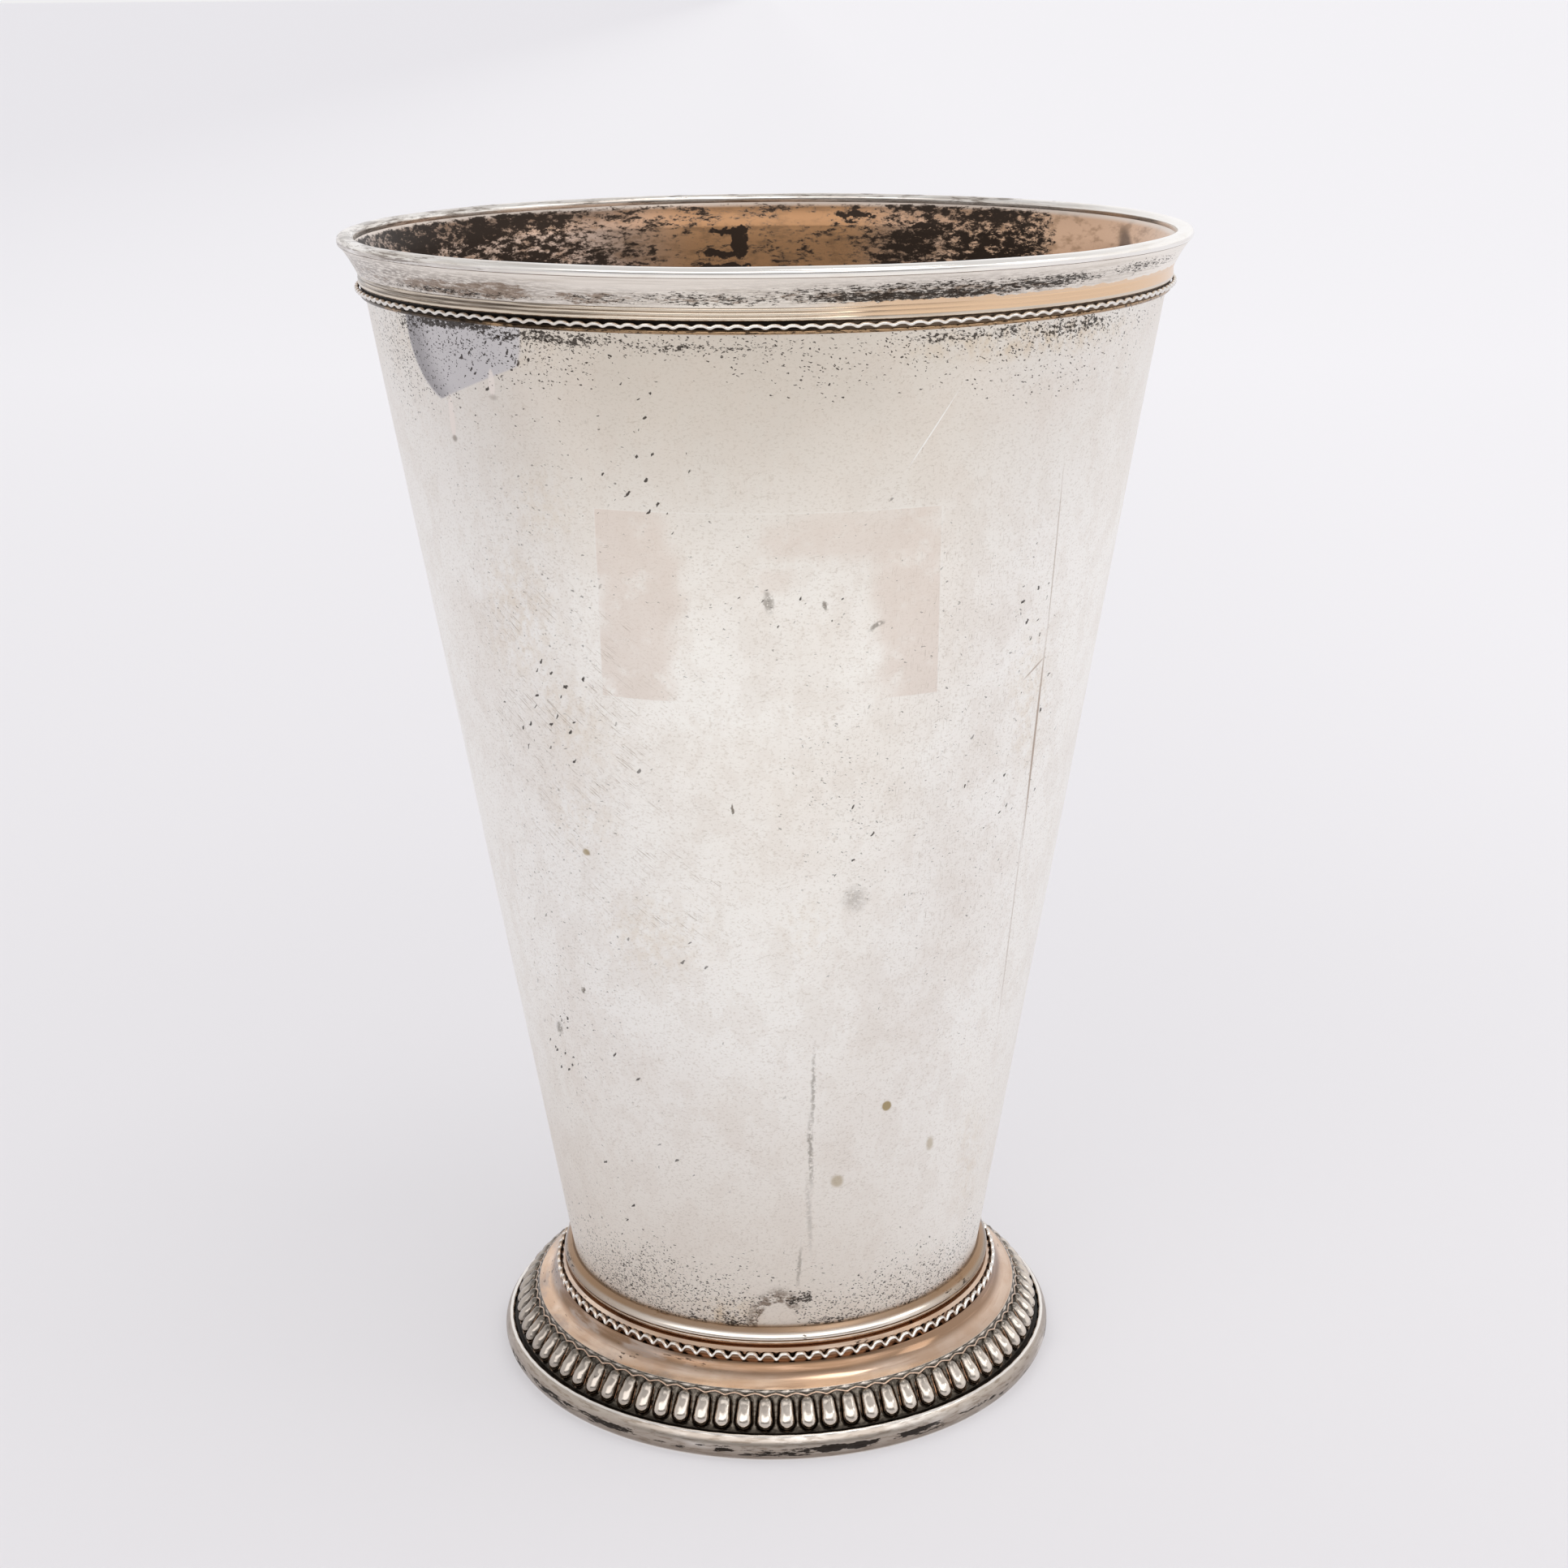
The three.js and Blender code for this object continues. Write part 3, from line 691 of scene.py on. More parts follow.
# Edge that the beaker stands on: bright on its crest, a brown-grey film and black scabs along its side
def wornFootSilver():
    material, at, tarnishAndShadeLevel = startMaterial("wornFootSilver", "tarnishAndShade")
    flat, _, height = unrolled()
    side = between(height, (0.1, 0.4), (footCrestZ - 0.22, footCrestZ - 0.04))
    belt = between(height, (0.4, 1.0), (1.8, 2.5))
    scabs = anyOf(mottle(at, (9, 9, 2.5), 0.42, 0.62, 0.66, detail=3, seed=63),
                  spots(shaken(flat, 1.2, 1.0, 6), footScabs))
    tarnish = stipple(at, (1.8, 1.8, 0.26), allOf(belt, scabs), 0.92, 0.04, detail=8, rough=0.7, seed=64)
    layers = [
        (allOf(side, mottle(at, (12, 12, 3), 0.2, 0.5, 0.85, seed=61)), "#A39689"),
        (between(height, (0.1, 0.4), (0.6, 1.6), 0.5), "#8D7D6F"),
        (allOf(side,
               mottle(at, (2.4, 2.4, 0.3), 0.48, 0.62, 0.5, detail=8, rough=0.68, seed=62)), "#75634F"),
        (tarnish, "#1F1A17"),
        (between(tarnishAndShadeLevel, (0.05, 0.5), share=0.8), "#7C6550"),
        (between(tarnishAndShadeLevel, (0.6, 0.95)), "#1B1815"),
    ]
    return finishMetal(material, "#F1ECE6", layers, 0.18, [(side, 0.28), (tarnish, 0.5)])


wornWall = wornWallSilver()
flareFinish = flareSilver()
lining = tarnishedLining()
polishedLip = lipSilver()
rimBand = rimBandSilver()
drawnWire = brightWireSilver("drawnWireSilver", "#F6F3EE", "#A98F78", "#2A221C", 0.15)
drawnCollar = brightWireSilver("drawnCollarSilver", "#EFE5DA", "#9C7B5C", "#2A211A", 0.14, 0.72, 0.85)
roseCove = roseSpunSilver()
chasedBand = chasedGadroonSilver()
footEdge = wornFootSilver()
print("materials made")


# Wall: cone, step under the band, hollow flare, edge under the lip, and the same inside.
# The outside swells and sinks by a few hundredths of a mm, as raised sheet does.
def makeWall():
    w = wall
    thick = w["thickness"]
    midZ = (neckZ + lipSeatZ) / 2
    flareMid = ((w["flareFoot"] + wallTopRadius) / 2 - w["flareHollow"], midZ)
    innerMid = ((w["mouthInner"] + w["neckRadius"] - thick) / 2 - w["innerHollow"], midZ)
    parts = chain(
        ((w["baseRadius"] - thick, seatZ), 2), ((w["baseRadius"], seatZ), 1), ((w["neckRadius"], neckZ), 2),
        ((w["flareFoot"], neckZ), 14, flareMid), ((wallTopRadius, lipSeatZ), 3),
        ((w["mouthInner"], lipSeatZ), 14, innerMid), ((w["neckRadius"] - thick, neckZ), 50))
    coneZ = np.concatenate([np.linspace(low, high, count)[:-1] for low, high, count in (
        (seatZ, w["fineBelow"], 28), (w["fineBelow"], w["fineAbove"], 84), (w["fineAbove"], neckZ, 36))])
    parts[1] = np.stack([w["baseRadius"] + wallTaper * (coneZ - seatZ), coneZ], -1)
    angle, r, z = grid(parts, w["columns"])
    free = smooth(seatZ + 3, seatZ + 15, z) * smooth(neckZ - 4, neckZ - 15, z)
    swell = np.sin(3 * angle + 0.05 * z) + 0.7 * np.sin(5 * angle - 0.09 * z + 1)
    swell = swell + 0.5 * np.sin(2 * angle + 0.17 * z)
    r = r + w["wave"] * free * swell / 2
    radius = w["baseRadius"] + wallTaper * (z - seatZ)
    arc = angle * radius
    behind = np.where(arc > 0, math.pi * radius, -math.pi * radius) - arc  # arc from the back, mirrored
    uneven = np.sin(0.7 * arc + 0.4 * z) + np.sin(1.3 * z - 0.5 * arc)
    marks = {}
    for name, listed in wallZones.items():
        sides = [arc] if name == "paper" else [arc, behind]
        marks[name] = np.maximum.reduce([ovals(listed, x + 0.5 * uneven, z + 0.12 * uneven) for x in sides])
    finishes = [wornWall, flareFinish, lining]
    slots = spread([2, 0, 0, 1, 1, 2, 2], parts)
    ringPiece("beakerWall", "beaker_wall", "worn_silver", angle, r, z, finishes, marks, slotOf=slots)


# Floor disc: its rows run from the rim in to the axis, where they meet in a ring of hardly any width
def makeFloor():
    pole = 0.02
    parts = chain(((pole, floorLowZ), 24), ((floorRadius, floorLowZ), 2), ((floorRadius, floorTopZ), 24),
                  ((pole, floorTopZ), 1))
    turnedPiece("beakerFloor", "beaker_floor", "worn_silver", parts, 120, [lining])


# Lip: a foot that carries on the flare, a fine groove, and a bead over the edge, dipped a little by use
lip = {
    "inner": 47.5, "beadZ": 141.48, "start": -0.35, "flat": 0.75, "steps": 30, "columns": 480, "dent": 0.03,
    "groove": 0.16, "grooveDrop": 0.02, "shoulder": 0.12, "shoulderDrop": 0.05,
}


def makeLip():
    t = np.linspace(lip["start"], math.pi, lip["steps"])
    middle, half = (lipRadius + lip["inner"]) / 2, (lipRadius - lip["inner"]) / 2
    bulge = np.sign(np.sin(t)) * np.abs(np.sin(t)) ** lip["flat"]
    bow = np.stack([middle + half * np.cos(t), lip["beadZ"] + (topZ - lip["beadZ"]) * bulge], -1)
    groove = (lipRadius - lip["groove"], bow[0][1] - lip["grooveDrop"])
    shoulder = (lipRadius - lip["shoulder"], groove[1] - lip["shoulderDrop"])
    parts = chain(((wallTopRadius, lipSeatZ), 4), (shoulder, 2), (groove, 2), (bow[0], 1),
                  ((lip["inner"], lipSeatZ), 5))
    parts[3] = bow
    angle, r, z = grid(parts, lip["columns"])
    dent = lip["dent"] * (np.sin(7 * angle) + np.sin(13 * angle + 1)) / 2 - lip["dent"]
    z = z + dent * (z - lipSeatZ) / (topZ - lipSeatZ)
    # painted shade in the groove and along the inner underside
    marks = {"tarnishAndShade": spread([0.0, 0.5, 1.0, 0.0, 0.5], parts)}
    ringPiece("lipWire", "lip_wire", "bright_silver", angle, r, z, [polishedLip], marks)


# Reeded band: fillet, flat recess, then round reeds up to the step under the flare; the reeds are
# worn flat on the right half of the front
reedBand = {
    "filletRadius": 47.13, "filletHeight": 0.4, "filletDepth": 0.1,
    "recessRadius": 46.98, "recessHeight": 0.94, "reedRadius": 47.15,
    "reeds": 3, "reedDepth": 0.13, "wornDrop": 0.1, "gap": 0.1, "columns": 400,
    "worn": (4, 16, 80, 92),  # degrees from the front: starts, full, full, ends
}


def makeReedBand():
    b = reedBand
    recessZ = bandLowZ + b["filletHeight"]
    reedsZ = recessZ + b["recessHeight"]
    innerLow = wall["baseRadius"] + wallTaper * (bandLowZ - seatZ) + b["gap"]
    innerTop = wall["neckRadius"] + b["gap"]
    up = np.linspace(0, 1, 42)
    crest = np.abs(np.sin(up * math.pi * b["reeds"]))
    reeds = np.stack([b["reedRadius"] + b["reedDepth"] * crest ** 0.8, reedsZ + up * (neckZ - reedsZ)], -1)
    filletFoot = b["filletRadius"] - b["filletDepth"]
    filletMid = (b["filletRadius"], bandLowZ + b["filletHeight"] / 2)
    parts = [
        straight((innerLow, bandLowZ), (filletFoot, bandLowZ), 2),
        bowed((filletFoot, bandLowZ), filletMid, (filletFoot, recessZ), 8),
        straight((b["recessRadius"], recessZ), (b["recessRadius"], reedsZ), 8),
        reeds,
        straight((innerTop, neckZ), (innerLow, bandLowZ), 3),
    ]
    first = sum(len(p) for p in parts[:3])
    onReeds = slice(first, first + len(reeds))
    tarnishAndShadeLevel = spread([1.0, 0.2, 1.0, 0.0, 1.0], parts)
    tarnishAndShadeLevel[onReeds] = 0.5 - 0.5 * crest ** 0.5
    inReeds = np.zeros(len(tarnishAndShadeLevel))
    inReeds[onReeds] = smooth(0.0, 0.14, up)
    angle, r, z = grid(parts, b["columns"])
    degrees = np.degrees(angle)
    worn = smooth(b["worn"][0], b["worn"][1], degrees) * smooth(b["worn"][3], b["worn"][2], degrees)
    share = np.minimum((z - recessZ) / (reedsZ - recessZ), (neckZ - z) / (neckZ - reedsZ))
    z = z - b["wornDrop"] * worn * np.clip(share, 0, 1)
    r = r + worn * inReeds * 0.9 * (b["reedRadius"] + b["reedDepth"] - r)
    tarnishAndShadeLevel = tarnishAndShadeLevel * (1 - 0.95 * worn * inReeds)
    ringPiece("rimReedBand", "rim_reed_band", "bright_silver", angle, r, z, [rimBand], {"tarnishAndShade": tarnishAndShadeLevel})


# Zigzag wire: an oval section carried round a ring while its middle rises and falls as
# 1 - (1 - cos)^2 / 2, flat on the crests and pointed in the dips; its back is left black
rimWire = {"waves": 160, "depth": 0.5, "thick": 0.38, "start": -0.1, "drop": 0.2, "low": 0.3}
footWire = {"waves": 90, "depth": 0.6, "thick": 0.4, "start": -0.15, "drop": 0.0, "low": 0.04}
wireSteps = {"wave": 14, "section": 12}


def makeZigzag(name, nodeName, wire, outerRadius, lowZ, highZ):
    angle = turns(wire["waves"] * wireSteps["wave"])
    phase = wire["waves"] * (angle - math.radians(wire["start"])) + math.pi
    swing = np.cos(phase)
    rise = (highZ - lowZ - wire["thick"] - wire["low"]) / 2
    middle = (lowZ + highZ) / 2 - wire["drop"] + rise * (1 - (1 - swing) ** 2 / 2)
    slope = rise * (1 - swing) * np.abs(np.sin(phase)) * wire["waves"] / outerRadius
    t = np.linspace(-math.pi, math.pi, wireSteps["section"], endpoint=False)
    r = outerRadius - wire["depth"] / 2 * (1 - np.cos(t)) + 0 * angle
    z = middle + wire["thick"] / 2 * np.sin(t) * np.sqrt(1 + np.minimum(slope, 1.2) ** 2)
    # painted shade on the upper side of each wave's right slope, carried in the mark with the black back
    shade = 0.4 * smooth(0.2, 0.9, np.sin(phase)) * smooth(-0.2, 0.6, np.sin(t))
    tarnishAndShadeLevel = np.maximum(smooth(-0.1, -0.8, np.cos(t)), shade)
    ringPiece(name, nodeName, "bright_silver", angle, r, z, [drawnWire], {"tarnishAndShade": tarnishAndShadeLevel}, sharp=80)


# Collar: half round, with a fine groove low on it; painted shade, brown along its top and bottom edges and
# darker in the groove
collar = {
    "inner": 25.92, "footRadius": 27.0, "topRadius": 26.56, "columns": 400,
    "groove": 0.4, "grooveWide": 0.05, "grooveDepth": 0.14,
}


def makeCollar():
    c = collar
    topInner = c["inner"] + wallTaper * (collarTopZ - seatZ)
    middle = (collarRadius, (seatZ + collarTopZ) / 2)
    parts = chain(((c["inner"], seatZ), 3), ((c["footRadius"], seatZ), 44, middle),
                  ((c["topRadius"], collarTopZ), 2), ((topInner, collarTopZ), 3))
    up = np.linspace(0, 1, len(parts[1]))
    cut = np.exp(-((up - c["groove"]) / c["grooveWide"]) ** 2)
    parts[1][:, 0] -= c["grooveDepth"] * cut
    # painted shade: brown along the top and bottom edges, darkest in the groove
    shade = np.clip(0.5 * smooth(0.2, 0.02, up) + 0.5 * smooth(0.68, 0.9, up) + 0.95 * cut, 0, 1)
    tarnishAndShadeLevel = spread([0.8, 0.0, 0.7, 0.7], parts)
    tarnishAndShadeLevel[len(parts[0]):][:len(up)] = shade
    turnedPiece("footCollar", "foot_collar", "bright_silver", parts, c["columns"], [drawnCollar], tarnishAndShadeLevel)


# Cove: flange under the cup, neck behind the zigzag wire, ledge, hollow curve, shell inside
cove = {
    "flange": 22.95, "neck": 27.9, "chamfer": 0.35, "neckHeight": 1.5, "ledge": 0.5, "hollow": 0.3,
    "shell": 1.1, "columns": 400,
}


def makeCove():
    c = cove
    ledgeRadius = c["neck"] + c["ledge"]
    ledgeTop = seatZ - c["neckHeight"]
    innerTop = seatZ - c["shell"]
    middle = ((ledgeRadius + coveRadius) / 2 - c["hollow"], (ledgeTop + coveLowZ) / 2 - c["hollow"])
    parts = chain(
        ((coveRadius - c["shell"], coveLowZ), 2), ((coveRadius, coveLowZ), 40, middle),
        ((ledgeRadius, ledgeTop), 4), ((c["neck"], ledgeTop), 6), ((c["neck"], seatZ - c["chamfer"]), 6),
        ((c["neck"] - c["chamfer"], seatZ), 4), ((c["flange"], seatZ), 2), ((c["flange"], innerTop), 4),
        ((c["neck"] - c["shell"], innerTop), 8))
    # tarnish and painted shade: the ledge darkened under the wire, the neck behind the wire darkening to
    # black under the collar
    tarnishAndShadeLevel = spread([0.5, 0, 0.75, 0.8, 0.12, 0.3, 0.4, 0.4, 0.4], parts)
    neckRow, neckRows = sum(len(p) for p in parts[:3]), len(parts[3])
    tarnishAndShadeLevel[neckRow:neckRow + neckRows] = np.linspace(0.4, 1.0, neckRows)  # blackest under the collar
    turnedPiece("footCove", "foot_cove", "rose_silver", parts, c["columns"], [roseCove], tarnishAndShadeLevel)


# Gadrooned band. The bed is a straight slope, and s and d are mm across a lobe and down the slope.
# A lobe is the outline of two circles and their tangents; inside it the height is a half ellipse of
# the distance to that outline, outside it a thread runs round at a small distance. A scalloped thread
# with a lozenge over each lobe closes the top. Columns keep to the outlines, so that they stay crisp.
gadroon = {
    "lobes": 80, "start": 1.9, "under": 32.3, "channel": 33.75, "channelZ": 2.95, "shell": 1.1,
    "headAt": 1.66, "headRadius": 0.8, "endAt": 3.78, "endRadius": 1.0, "height": 0.95, "headHeight": 0.6,
    "threadAt": 0.15, "threadHalf": 0.085, "threadHeight": 0.24,
    "scallopAt": 0.64, "scallopSwing": 0.16, "scallopHalf": 0.11, "scallopHeight": 0.17,
    "lozengeAt": 0.26, "lozengeLong": 0.8, "lozengeHigh": 0.18, "lozengeHeight": 0.15,
    "lobeLow": 4.2, "lobeTop": 1.05,  # rows of the bed lie wider apart between these
    "columnShares": (0.28, 0.54, 0.75, 0.9, 1.0), "columnGap": 0.012, "fullness": 2.2, "ripple": 0.012,
}


def makeGadroon():
    g = gadroon
    bedTop, bedEnd = np.array([coveRadius, coveLowZ]), np.array([g["channel"], g["channelZ"]])
    run = np.linalg.norm(bedEnd - bedTop)
    along = (bedEnd - bedTop) / run
    out = np.array([-along[1], along[0]])
    d = np.concatenate([
        np.linspace(run, g["lobeLow"], 13)[:-1], np.linspace(g["lobeLow"], g["lobeTop"], 17)[:-1],
        np.linspace(g["lobeTop"], 0, 16)])
    t = np.linspace(0, 1, 120)[:, None]
    centre = g["headAt"] + t * (g["endAt"] - g["headAt"])
    radius = g["headRadius"] + t * (g["endRadius"] - g["headRadius"])

    def halfWidth(offset):  # half width of the outline pushed out by offset, for each row
        return np.sqrt(np.clip((radius + offset) ** 2 - (d - centre) ** 2, 0, None)).max(0)

    bedRadius = bedTop[0] + along[0] * d
    halfPitch = math.pi / g["lobes"] * bedRadius
    body = halfWidth(0)
    lines = [q * body for q in g["columnShares"]]
    lines += [halfWidth(g["threadAt"] + k * g["threadHalf"]) for k in (-1, 0, 1)]
    lines = [np.sqrt(line ** 2 + (g["columnGap"] * (k + 1)) ** 2) for k, line in enumerate(lines)]
    lines += [(lines[-1] + halfPitch) / 2]
    right = np.stack(lines)
    s = np.vstack([-halfPitch, -right[::-1], 0 * halfPitch, right])  # one lobe, columns by rows
    shift = smooth(0, g["scallopAt"], d) * smooth(1.5, g["scallopAt"], d)
    rowD = d + g["scallopSwing"] * shift * np.cos(math.pi * s / halfPitch)

    # signed distance to the lobe's outline, by the nearest of the circles that sweep it
    away = np.hypot(s[..., None], rowD[..., None] - centre[:, 0]) - radius[:, 0]
    gap = away.min(-1)
    place = np.clip((rowD - g["headAt"]) / (g["endAt"] - g["headAt"]), 0, 1)
    wide = g["headRadius"] + place * (g["endRadius"] - g["headRadius"])
    tall = g["headHeight"] + (g["height"] - g["headHeight"]) * smooth(0, 0.75, place)
    lobe = tall * np.sqrt(np.clip(1 - np.clip(1 + gap / wide, 0, 1) ** g["fullness"], 0, 1))
    thread = np.clip(1 - np.abs(gap - g["threadAt"]) / g["threadHalf"], 0, 1) * smooth(0.95, 1.6, rowD)
    line = g["scallopAt"] + g["scallopSwing"] * np.cos(math.pi * s / halfPitch)
    scallop = np.sqrt(np.clip(1 - ((rowD - line) / g["scallopHalf"]) ** 2, 0, 1))
    leaf = np.abs(s) / g["lozengeLong"] + np.abs(rowD - g["lozengeAt"]) / g["lozengeHigh"]
    lozenge = np.clip(1 - leaf, 0, 1) ** 0.5
    rise = np.maximum.reduce([lobe, g["threadHeight"] * np.sqrt(thread), g["scallopHeight"] * scallop,
                              g["lozengeHeight"] * lozenge])
    onLobe = smooth(0.02, -0.06, gap)
    shine = np.maximum.reduce([onLobe, thread, scallop, smooth(0.1, 0.4, lozenge), smooth(0.08, 0.0, rowD)])
    nearOutline = smooth(0.3, 0.2, gap) * smooth(4.9, 4.4, rowD)
    # lobe darkening: tarnish in the bed between the lobes, darkest near their outlines and towards the
    # channel, grey heads, and painted shade on the lobes' flanks
    lobeTarnishAndShade = (1 - shine) * (0.5 + 0.4 * nearOutline + 0.3 * smooth(4.3, 4.9, rowD))
    lobeTarnishAndShade = np.maximum.reduce([
        lobeTarnishAndShade, 0.36 * onLobe * smooth(2.9, 1.2, rowD), 0.3 * onLobe * smooth(-0.4, -0.04, gap)])

    # repeat the lobe round the band, with a slight unevenness of its own on every one
    count = s.shape[0]
    lobeAngle = np.repeat(np.arange(g["lobes"]) / g["lobes"] * tau - math.pi, count)[:, None]
    angle = lobeAngle + math.radians(g["start"]) + np.tile(s, (g["lobes"], 1)) / bedRadius
    lift, allD = np.tile(rise, (g["lobes"], 1)), np.tile(rowD, (g["lobes"], 1))
    uneven = np.sin(37 * angle + 2.1 * allD) + np.sin(211 * angle - 3.7 * allD)
    uneven = uneven + np.sin(83 * angle + 4.9 * allD)
    lift = lift + g["ripple"] * uneven * smooth(0.05, 0.3, lift)
    bed = np.stack([bedTop[0] + along[0] * allD, bedTop[1] + along[1] * allD], -1)
    parts = chain(((g["under"], ledgeZ), 3), ((gadroonRadius, ledgeZ), 2),
                  ((gadroonRadius, g["channelZ"]), 3), (bedEnd, 1), (bedTop, 3),
                  ((coveRadius - g["shell"], coveLowZ), 3))
    before, after = np.vstack(parts[:3]), np.vstack([parts[4][1:], parts[5]])
    whole = len(angle)

    def carried(column, middle):  # the plain rows before and after the bed, round the whole band
        ends = [np.tile(rows[:, column], (whole, 1)) for rows in (before, after)]
        return np.hstack([ends[0], middle, ends[1]])

    r = carried(0, bed[..., 0] + out[0] * lift)
    z = carried(1, bed[..., 1] + out[1] * lift)
    evenAngle = lobeAngle + math.radians(g["start"]) + np.tile(s[:, :1], (g["lobes"], 1)) / bedRadius[0]
    angle = np.hstack([
        np.tile(evenAngle, (1, len(before))), angle, np.tile(angle[:, -1:], (1, len(after)))])
    onBed = slice(len(before), len(before) + len(d))
    tarnishAndShadeLevel, rosy = np.ones_like(r), np.zeros_like(r)
    tarnishAndShadeLevel[:, onBed] = np.tile(lobeTarnishAndShade, (g["lobes"], 1))
    tarnishAndShadeLevel[:, onBed.stop:] = 0.55
    rosy[:, onBed] = np.tile(np.maximum(thread, 0.7 * scallop), (g["lobes"], 1))
    marks = {"tarnishAndShade": tarnishAndShadeLevel, "thread": rosy}
    ringPiece("gadroonBand", "gadroon_band", "chased_silver", angle, r, z, [chasedBand], marks, sharp=70)


# Foot rim: flat underside, bulging side, rounded crest, upstand waved by the stamping of the band
footRimSize = {
    "inner": 32.3, "base": 34.85, "crest": 34.93, "upstand": 34.4, "crestDrop": 0.08, "innerDrop": 0.2,
    "columns": 640, "waves": 80, "waveDepth": 0.07,
}


def makeFootRim():
    f = footRimSize
    crestMid = ((f["crest"] + f["upstand"]) / 2, footCrestZ)
    parts = chain(
        ((f["inner"], groundZ), 4), ((f["base"], groundZ), 36, (footRadius, footCrestZ / 2)),
        ((f["crest"], footCrestZ - f["crestDrop"]), 10, crestMid),
        ((f["upstand"], footCrestZ - f["innerDrop"]), 4), ((f["upstand"], ledgeZ), 3),
        ((f["inner"], ledgeZ), 3))
    angle, r, z = grid(parts, f["columns"])
    r = r + f["waveDepth"] * spread([0, 0, 0.3, 1, 0, 0], parts) * np.cos(f["waves"] * angle + 1)
    marks = {"tarnishAndShade": spread([0.4, 0, 0, 0.85, 1, 0.5], parts)}
    ringPiece("footRim", "foot_rim", "bright_silver", angle, r, z, [footEdge], marks)


makeWall()
makeFloor()
makeLip()
makeReedBand()
makeZigzag("rimZigzagWire", "rim_zigzag_wire", rimWire, rimWireRadius, rimWireLowZ, rimWireTopZ)
makeCollar()
makeCove()
makeZigzag("footZigzagWire", "foot_zigzag_wire", footWire, footWireRadius, footWireLowZ, footWireTopZ)
makeGadroon()
makeFootRim()
print("pieces made")


# Camera where the photograph was taken from, turned by yaw and pitch and a slight roll
camera = {"place": (0, -309.52, 168.34), "pitch": 0.29597, "yaw": 0.0052, "roll": -0.0088, "lens": 59.81}


def makeCamera():
    data = bpy.data.cameras.new("camera")
    data.lens = camera["lens"]
    data.sensor_width = 36
    data.clip_start = 0.01
    data.clip_end = 200
    eye = bpy.data.objects.new("camera", data)
    eye.location = [v * mm for v in camera["place"]]
    aim = Euler((math.pi / 2 - camera["pitch"], 0, -camera["yaw"])).to_matrix()
    eye.rotation_euler = (aim @ Euler((0, 0, camera["roll"])).to_matrix()).to_euler()
    scene.collection.objects.link(eye)
    scene.camera = eye


# Pale paper floor with painted light: darker in front and on the left, lighter behind and on the right, and
# a painted pool of light in front of the cup where its wall mirrors it; clear from below so that the
# underside shows. The room is white with a dimmer ceiling, a long bright window over the camera and a dim
# wall below that window; the camera itself sees it pale and even.
stage = {
    "half": 70.0, "lightPool": "#F9F7F6", "front": "#E6E4E7", "back": "#F6F5F8", "left": "#DCDADF",
    "right": "#FCFBFE", "paper": 0.4,
    "air": "#FAF9FA", "side": 1.0, "sky": 0.72, "window": 1.25, "dim": 0.62, "pale": 0.92,
}


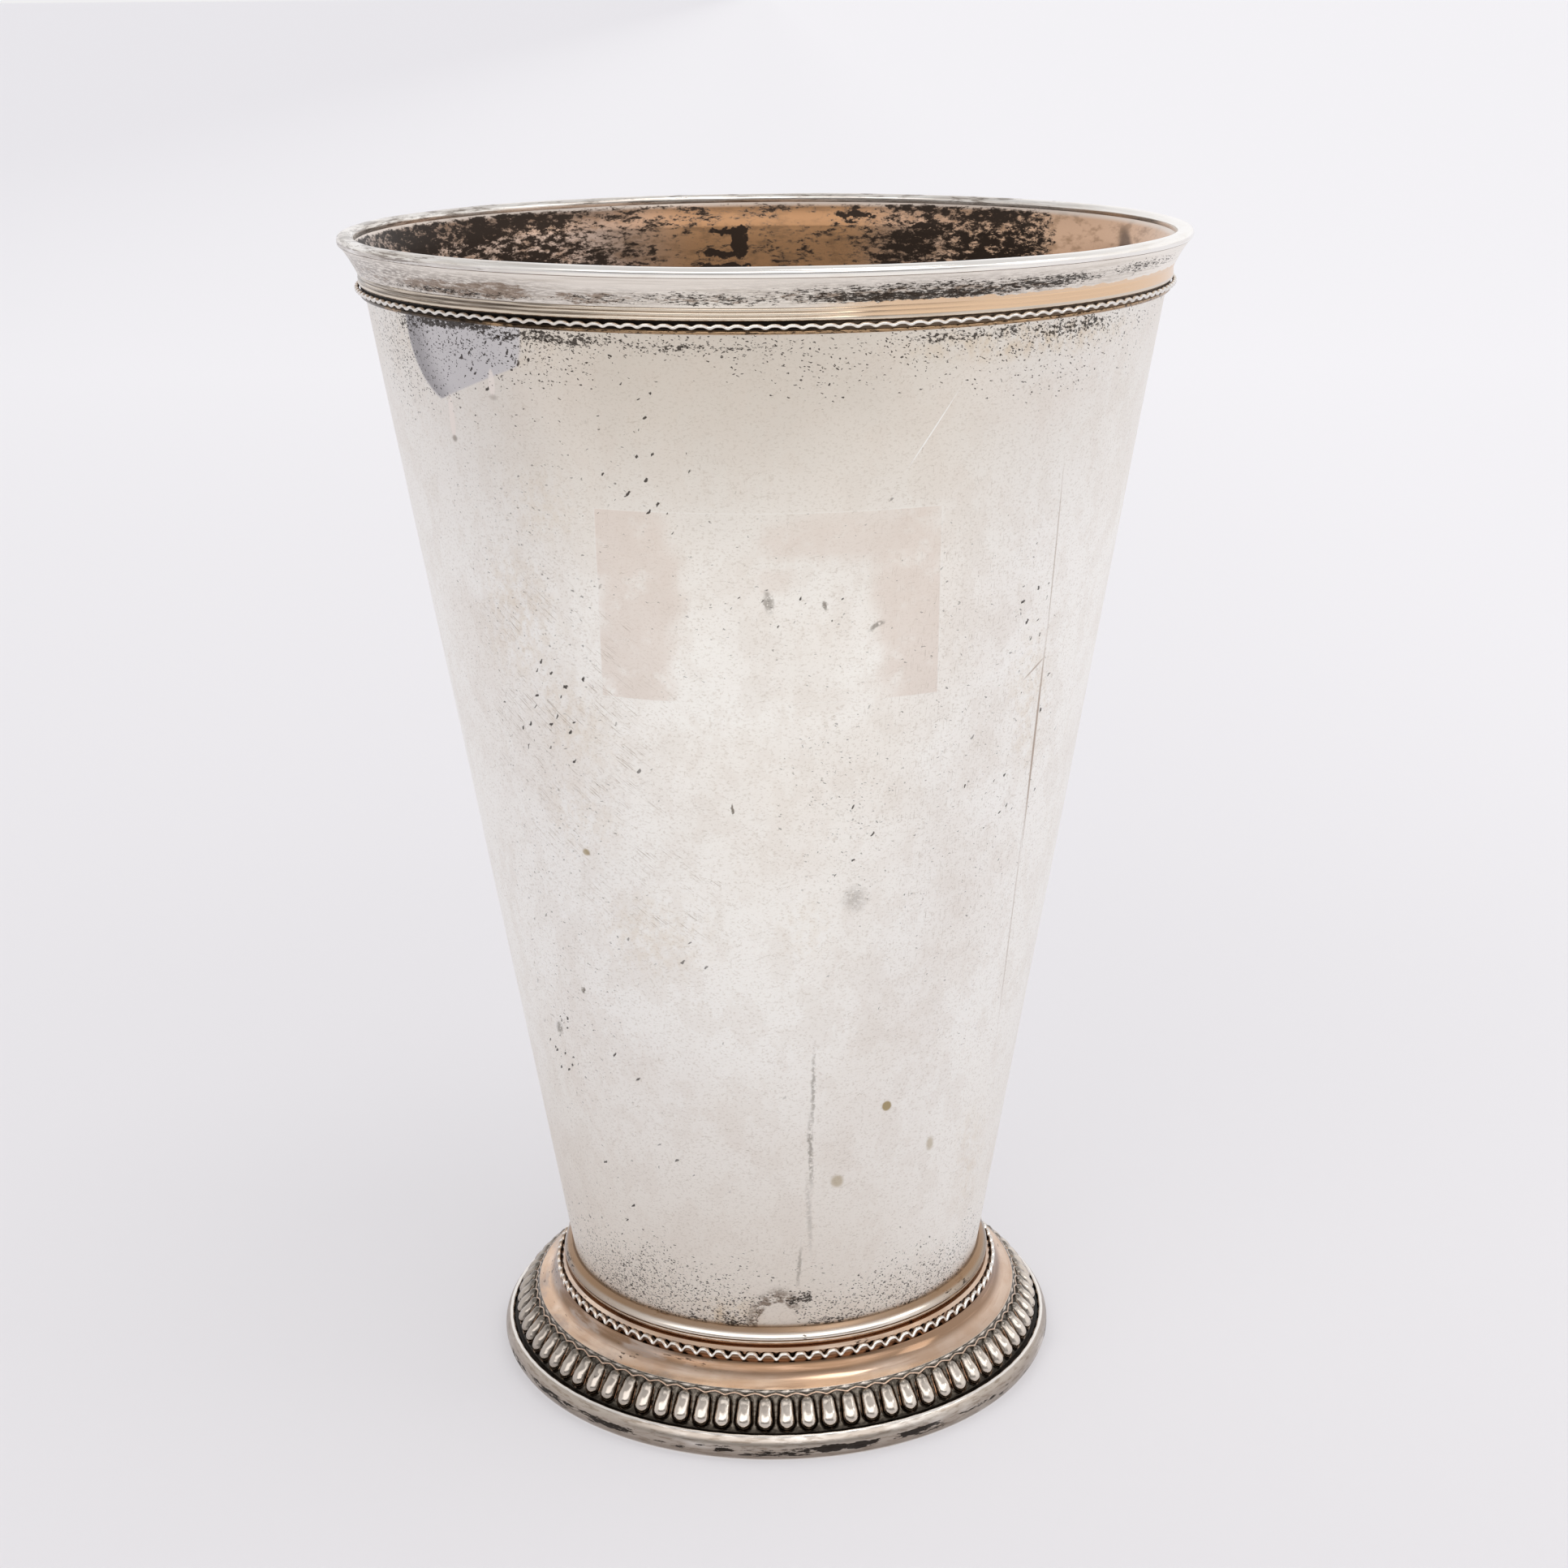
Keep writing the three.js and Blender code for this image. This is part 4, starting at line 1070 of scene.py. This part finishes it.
def makeFloorPaper():
    material = bpy.data.materials.new("paleFloor")
    begin(material)
    x, y, _ = node("SeparateXYZ", {0: node("TexCoord")["Object"]})
    # painted light: the floor darker in front and lighter behind, darker on the left and lighter on the
    # right
    far = node("MapRange", {"Value": y, "From Min": -0.15, "From Max": 0.9})
    tone = node("Mix", {0: far[0], 6: linear(stage["front"]), 7: linear(stage["back"])}, data_type="RGBA")
    # painted pool of light on the floor in front of the cup
    lightPool = allOf(between(y, (-1.2, -0.5), (-0.16, -0.07)), between(x, (-1.0, -0.4), (0.4, 1.0)))
    colour = layered(tone[2], [
        (between(x, fall=(-0.9, -0.1), share=0.38), stage["left"]),
        (between(x, (0.02, 0.25), share=0.36), stage["right"]),
        (lightPool, stage["lightPool"])])
    shader = node("BsdfPrincipled", {"Base Color": colour, "Roughness": 0.9, "Specular IOR Level": 0.1})
    ray = node("LightPath")
    seen = anyOf(*[ray[name] for name in ("Is Camera Ray", "Is Glossy Ray", "Is Transmission Ray")])
    glow = node("Emission", {0: colour, 1: 1.0})
    shown = node("MixShader", {0: allOf(seen, stage["paper"]), 1: shader[0], 2: glow[0]})
    clear = node("BsdfTransparent")
    sided = node("MixShader", {0: node("NewGeometry")["Backfacing"], 1: shown[0], 2: clear[0]})
    node("OutputMaterial", {0: sided[0]})
    size = stage["half"]
    mesh = bpy.data.meshes.new("floor")
    corners = [(-size, -size, 0), (size, -size, 0), (size, size, 0), (-size, size, 0)]
    mesh.from_pydata(corners, [], [(0, 1, 2, 3)])
    mesh.materials.append(material)
    floor = bpy.data.objects.new("floor", mesh)
    scene.collection.objects.link(floor)


def makeRoom():
    world = bpy.data.worlds.new("whiteRoom")
    begin(world)
    x, y, z = node("SeparateXYZ", {0: node("TexCoord")["Generated"]})
    up = node("MapRange", {
        "Value": z, "From Min": 0.25, "From Max": 0.85, "To Min": stage["side"], "To Max": stage["sky"]},
        interpolation_type="SMOOTHSTEP")
    right = node("MapRange", {
        "Value": x, "From Min": -0.9, "From Max": 0.9, "To Min": 0.95, "To Max": 1.12})
    window = allOf(between(z, (0.3, 0.48), (0.66, 0.82), stage["window"]), between(y, fall=(-0.6, -0.25)))
    dim = allOf(between(z, fall=(0.28, 0.42), share=stage["dim"]), between(y, fall=(-0.75, -0.35)))
    level = summed(allOf(up[0], right[0], less(dim)), window)
    ray = node("LightPath")
    shown = node("Mix", {0: ray["Is Camera Ray"], 2: level, 3: stage["pale"]}, data_type="FLOAT")
    light = node("Background", {0: linear(stage["air"]), 1: shown[0]})
    node("OutputWorld", {0: light[0]})
    scene.world = world


lamps = [
    {"name": "topBox", "place": (0.2, -0.1, 0.9), "aim": (0, 0, 0.07), "size": 0.3, "power": 0.6},
    {"name": "rightBox", "place": (0.9, -0.2, 0.6), "aim": (0, 0, 0.07), "size": 0.3, "power": 0.5},
]


def makeLamps():
    for spec in lamps:
        data = bpy.data.lights.new(spec["name"], "AREA")
        data.size = spec["size"]
        data.energy = spec["power"]
        lamp = bpy.data.objects.new(spec["name"], data)
        away = np.array(spec["place"]) - np.array(spec["aim"])
        lamp.location = spec["place"]
        lean = math.atan2(math.hypot(away[0], away[1]), away[2])
        lamp.rotation_euler = (lean, 0, math.atan2(away[0], -away[1]))
        scene.collection.objects.link(lamp)


makeCamera()
makeFloorPaper()
makeRoom()
makeLamps()
scene.view_settings.view_transform = "Standard"
print("camera, stage and lamps made")
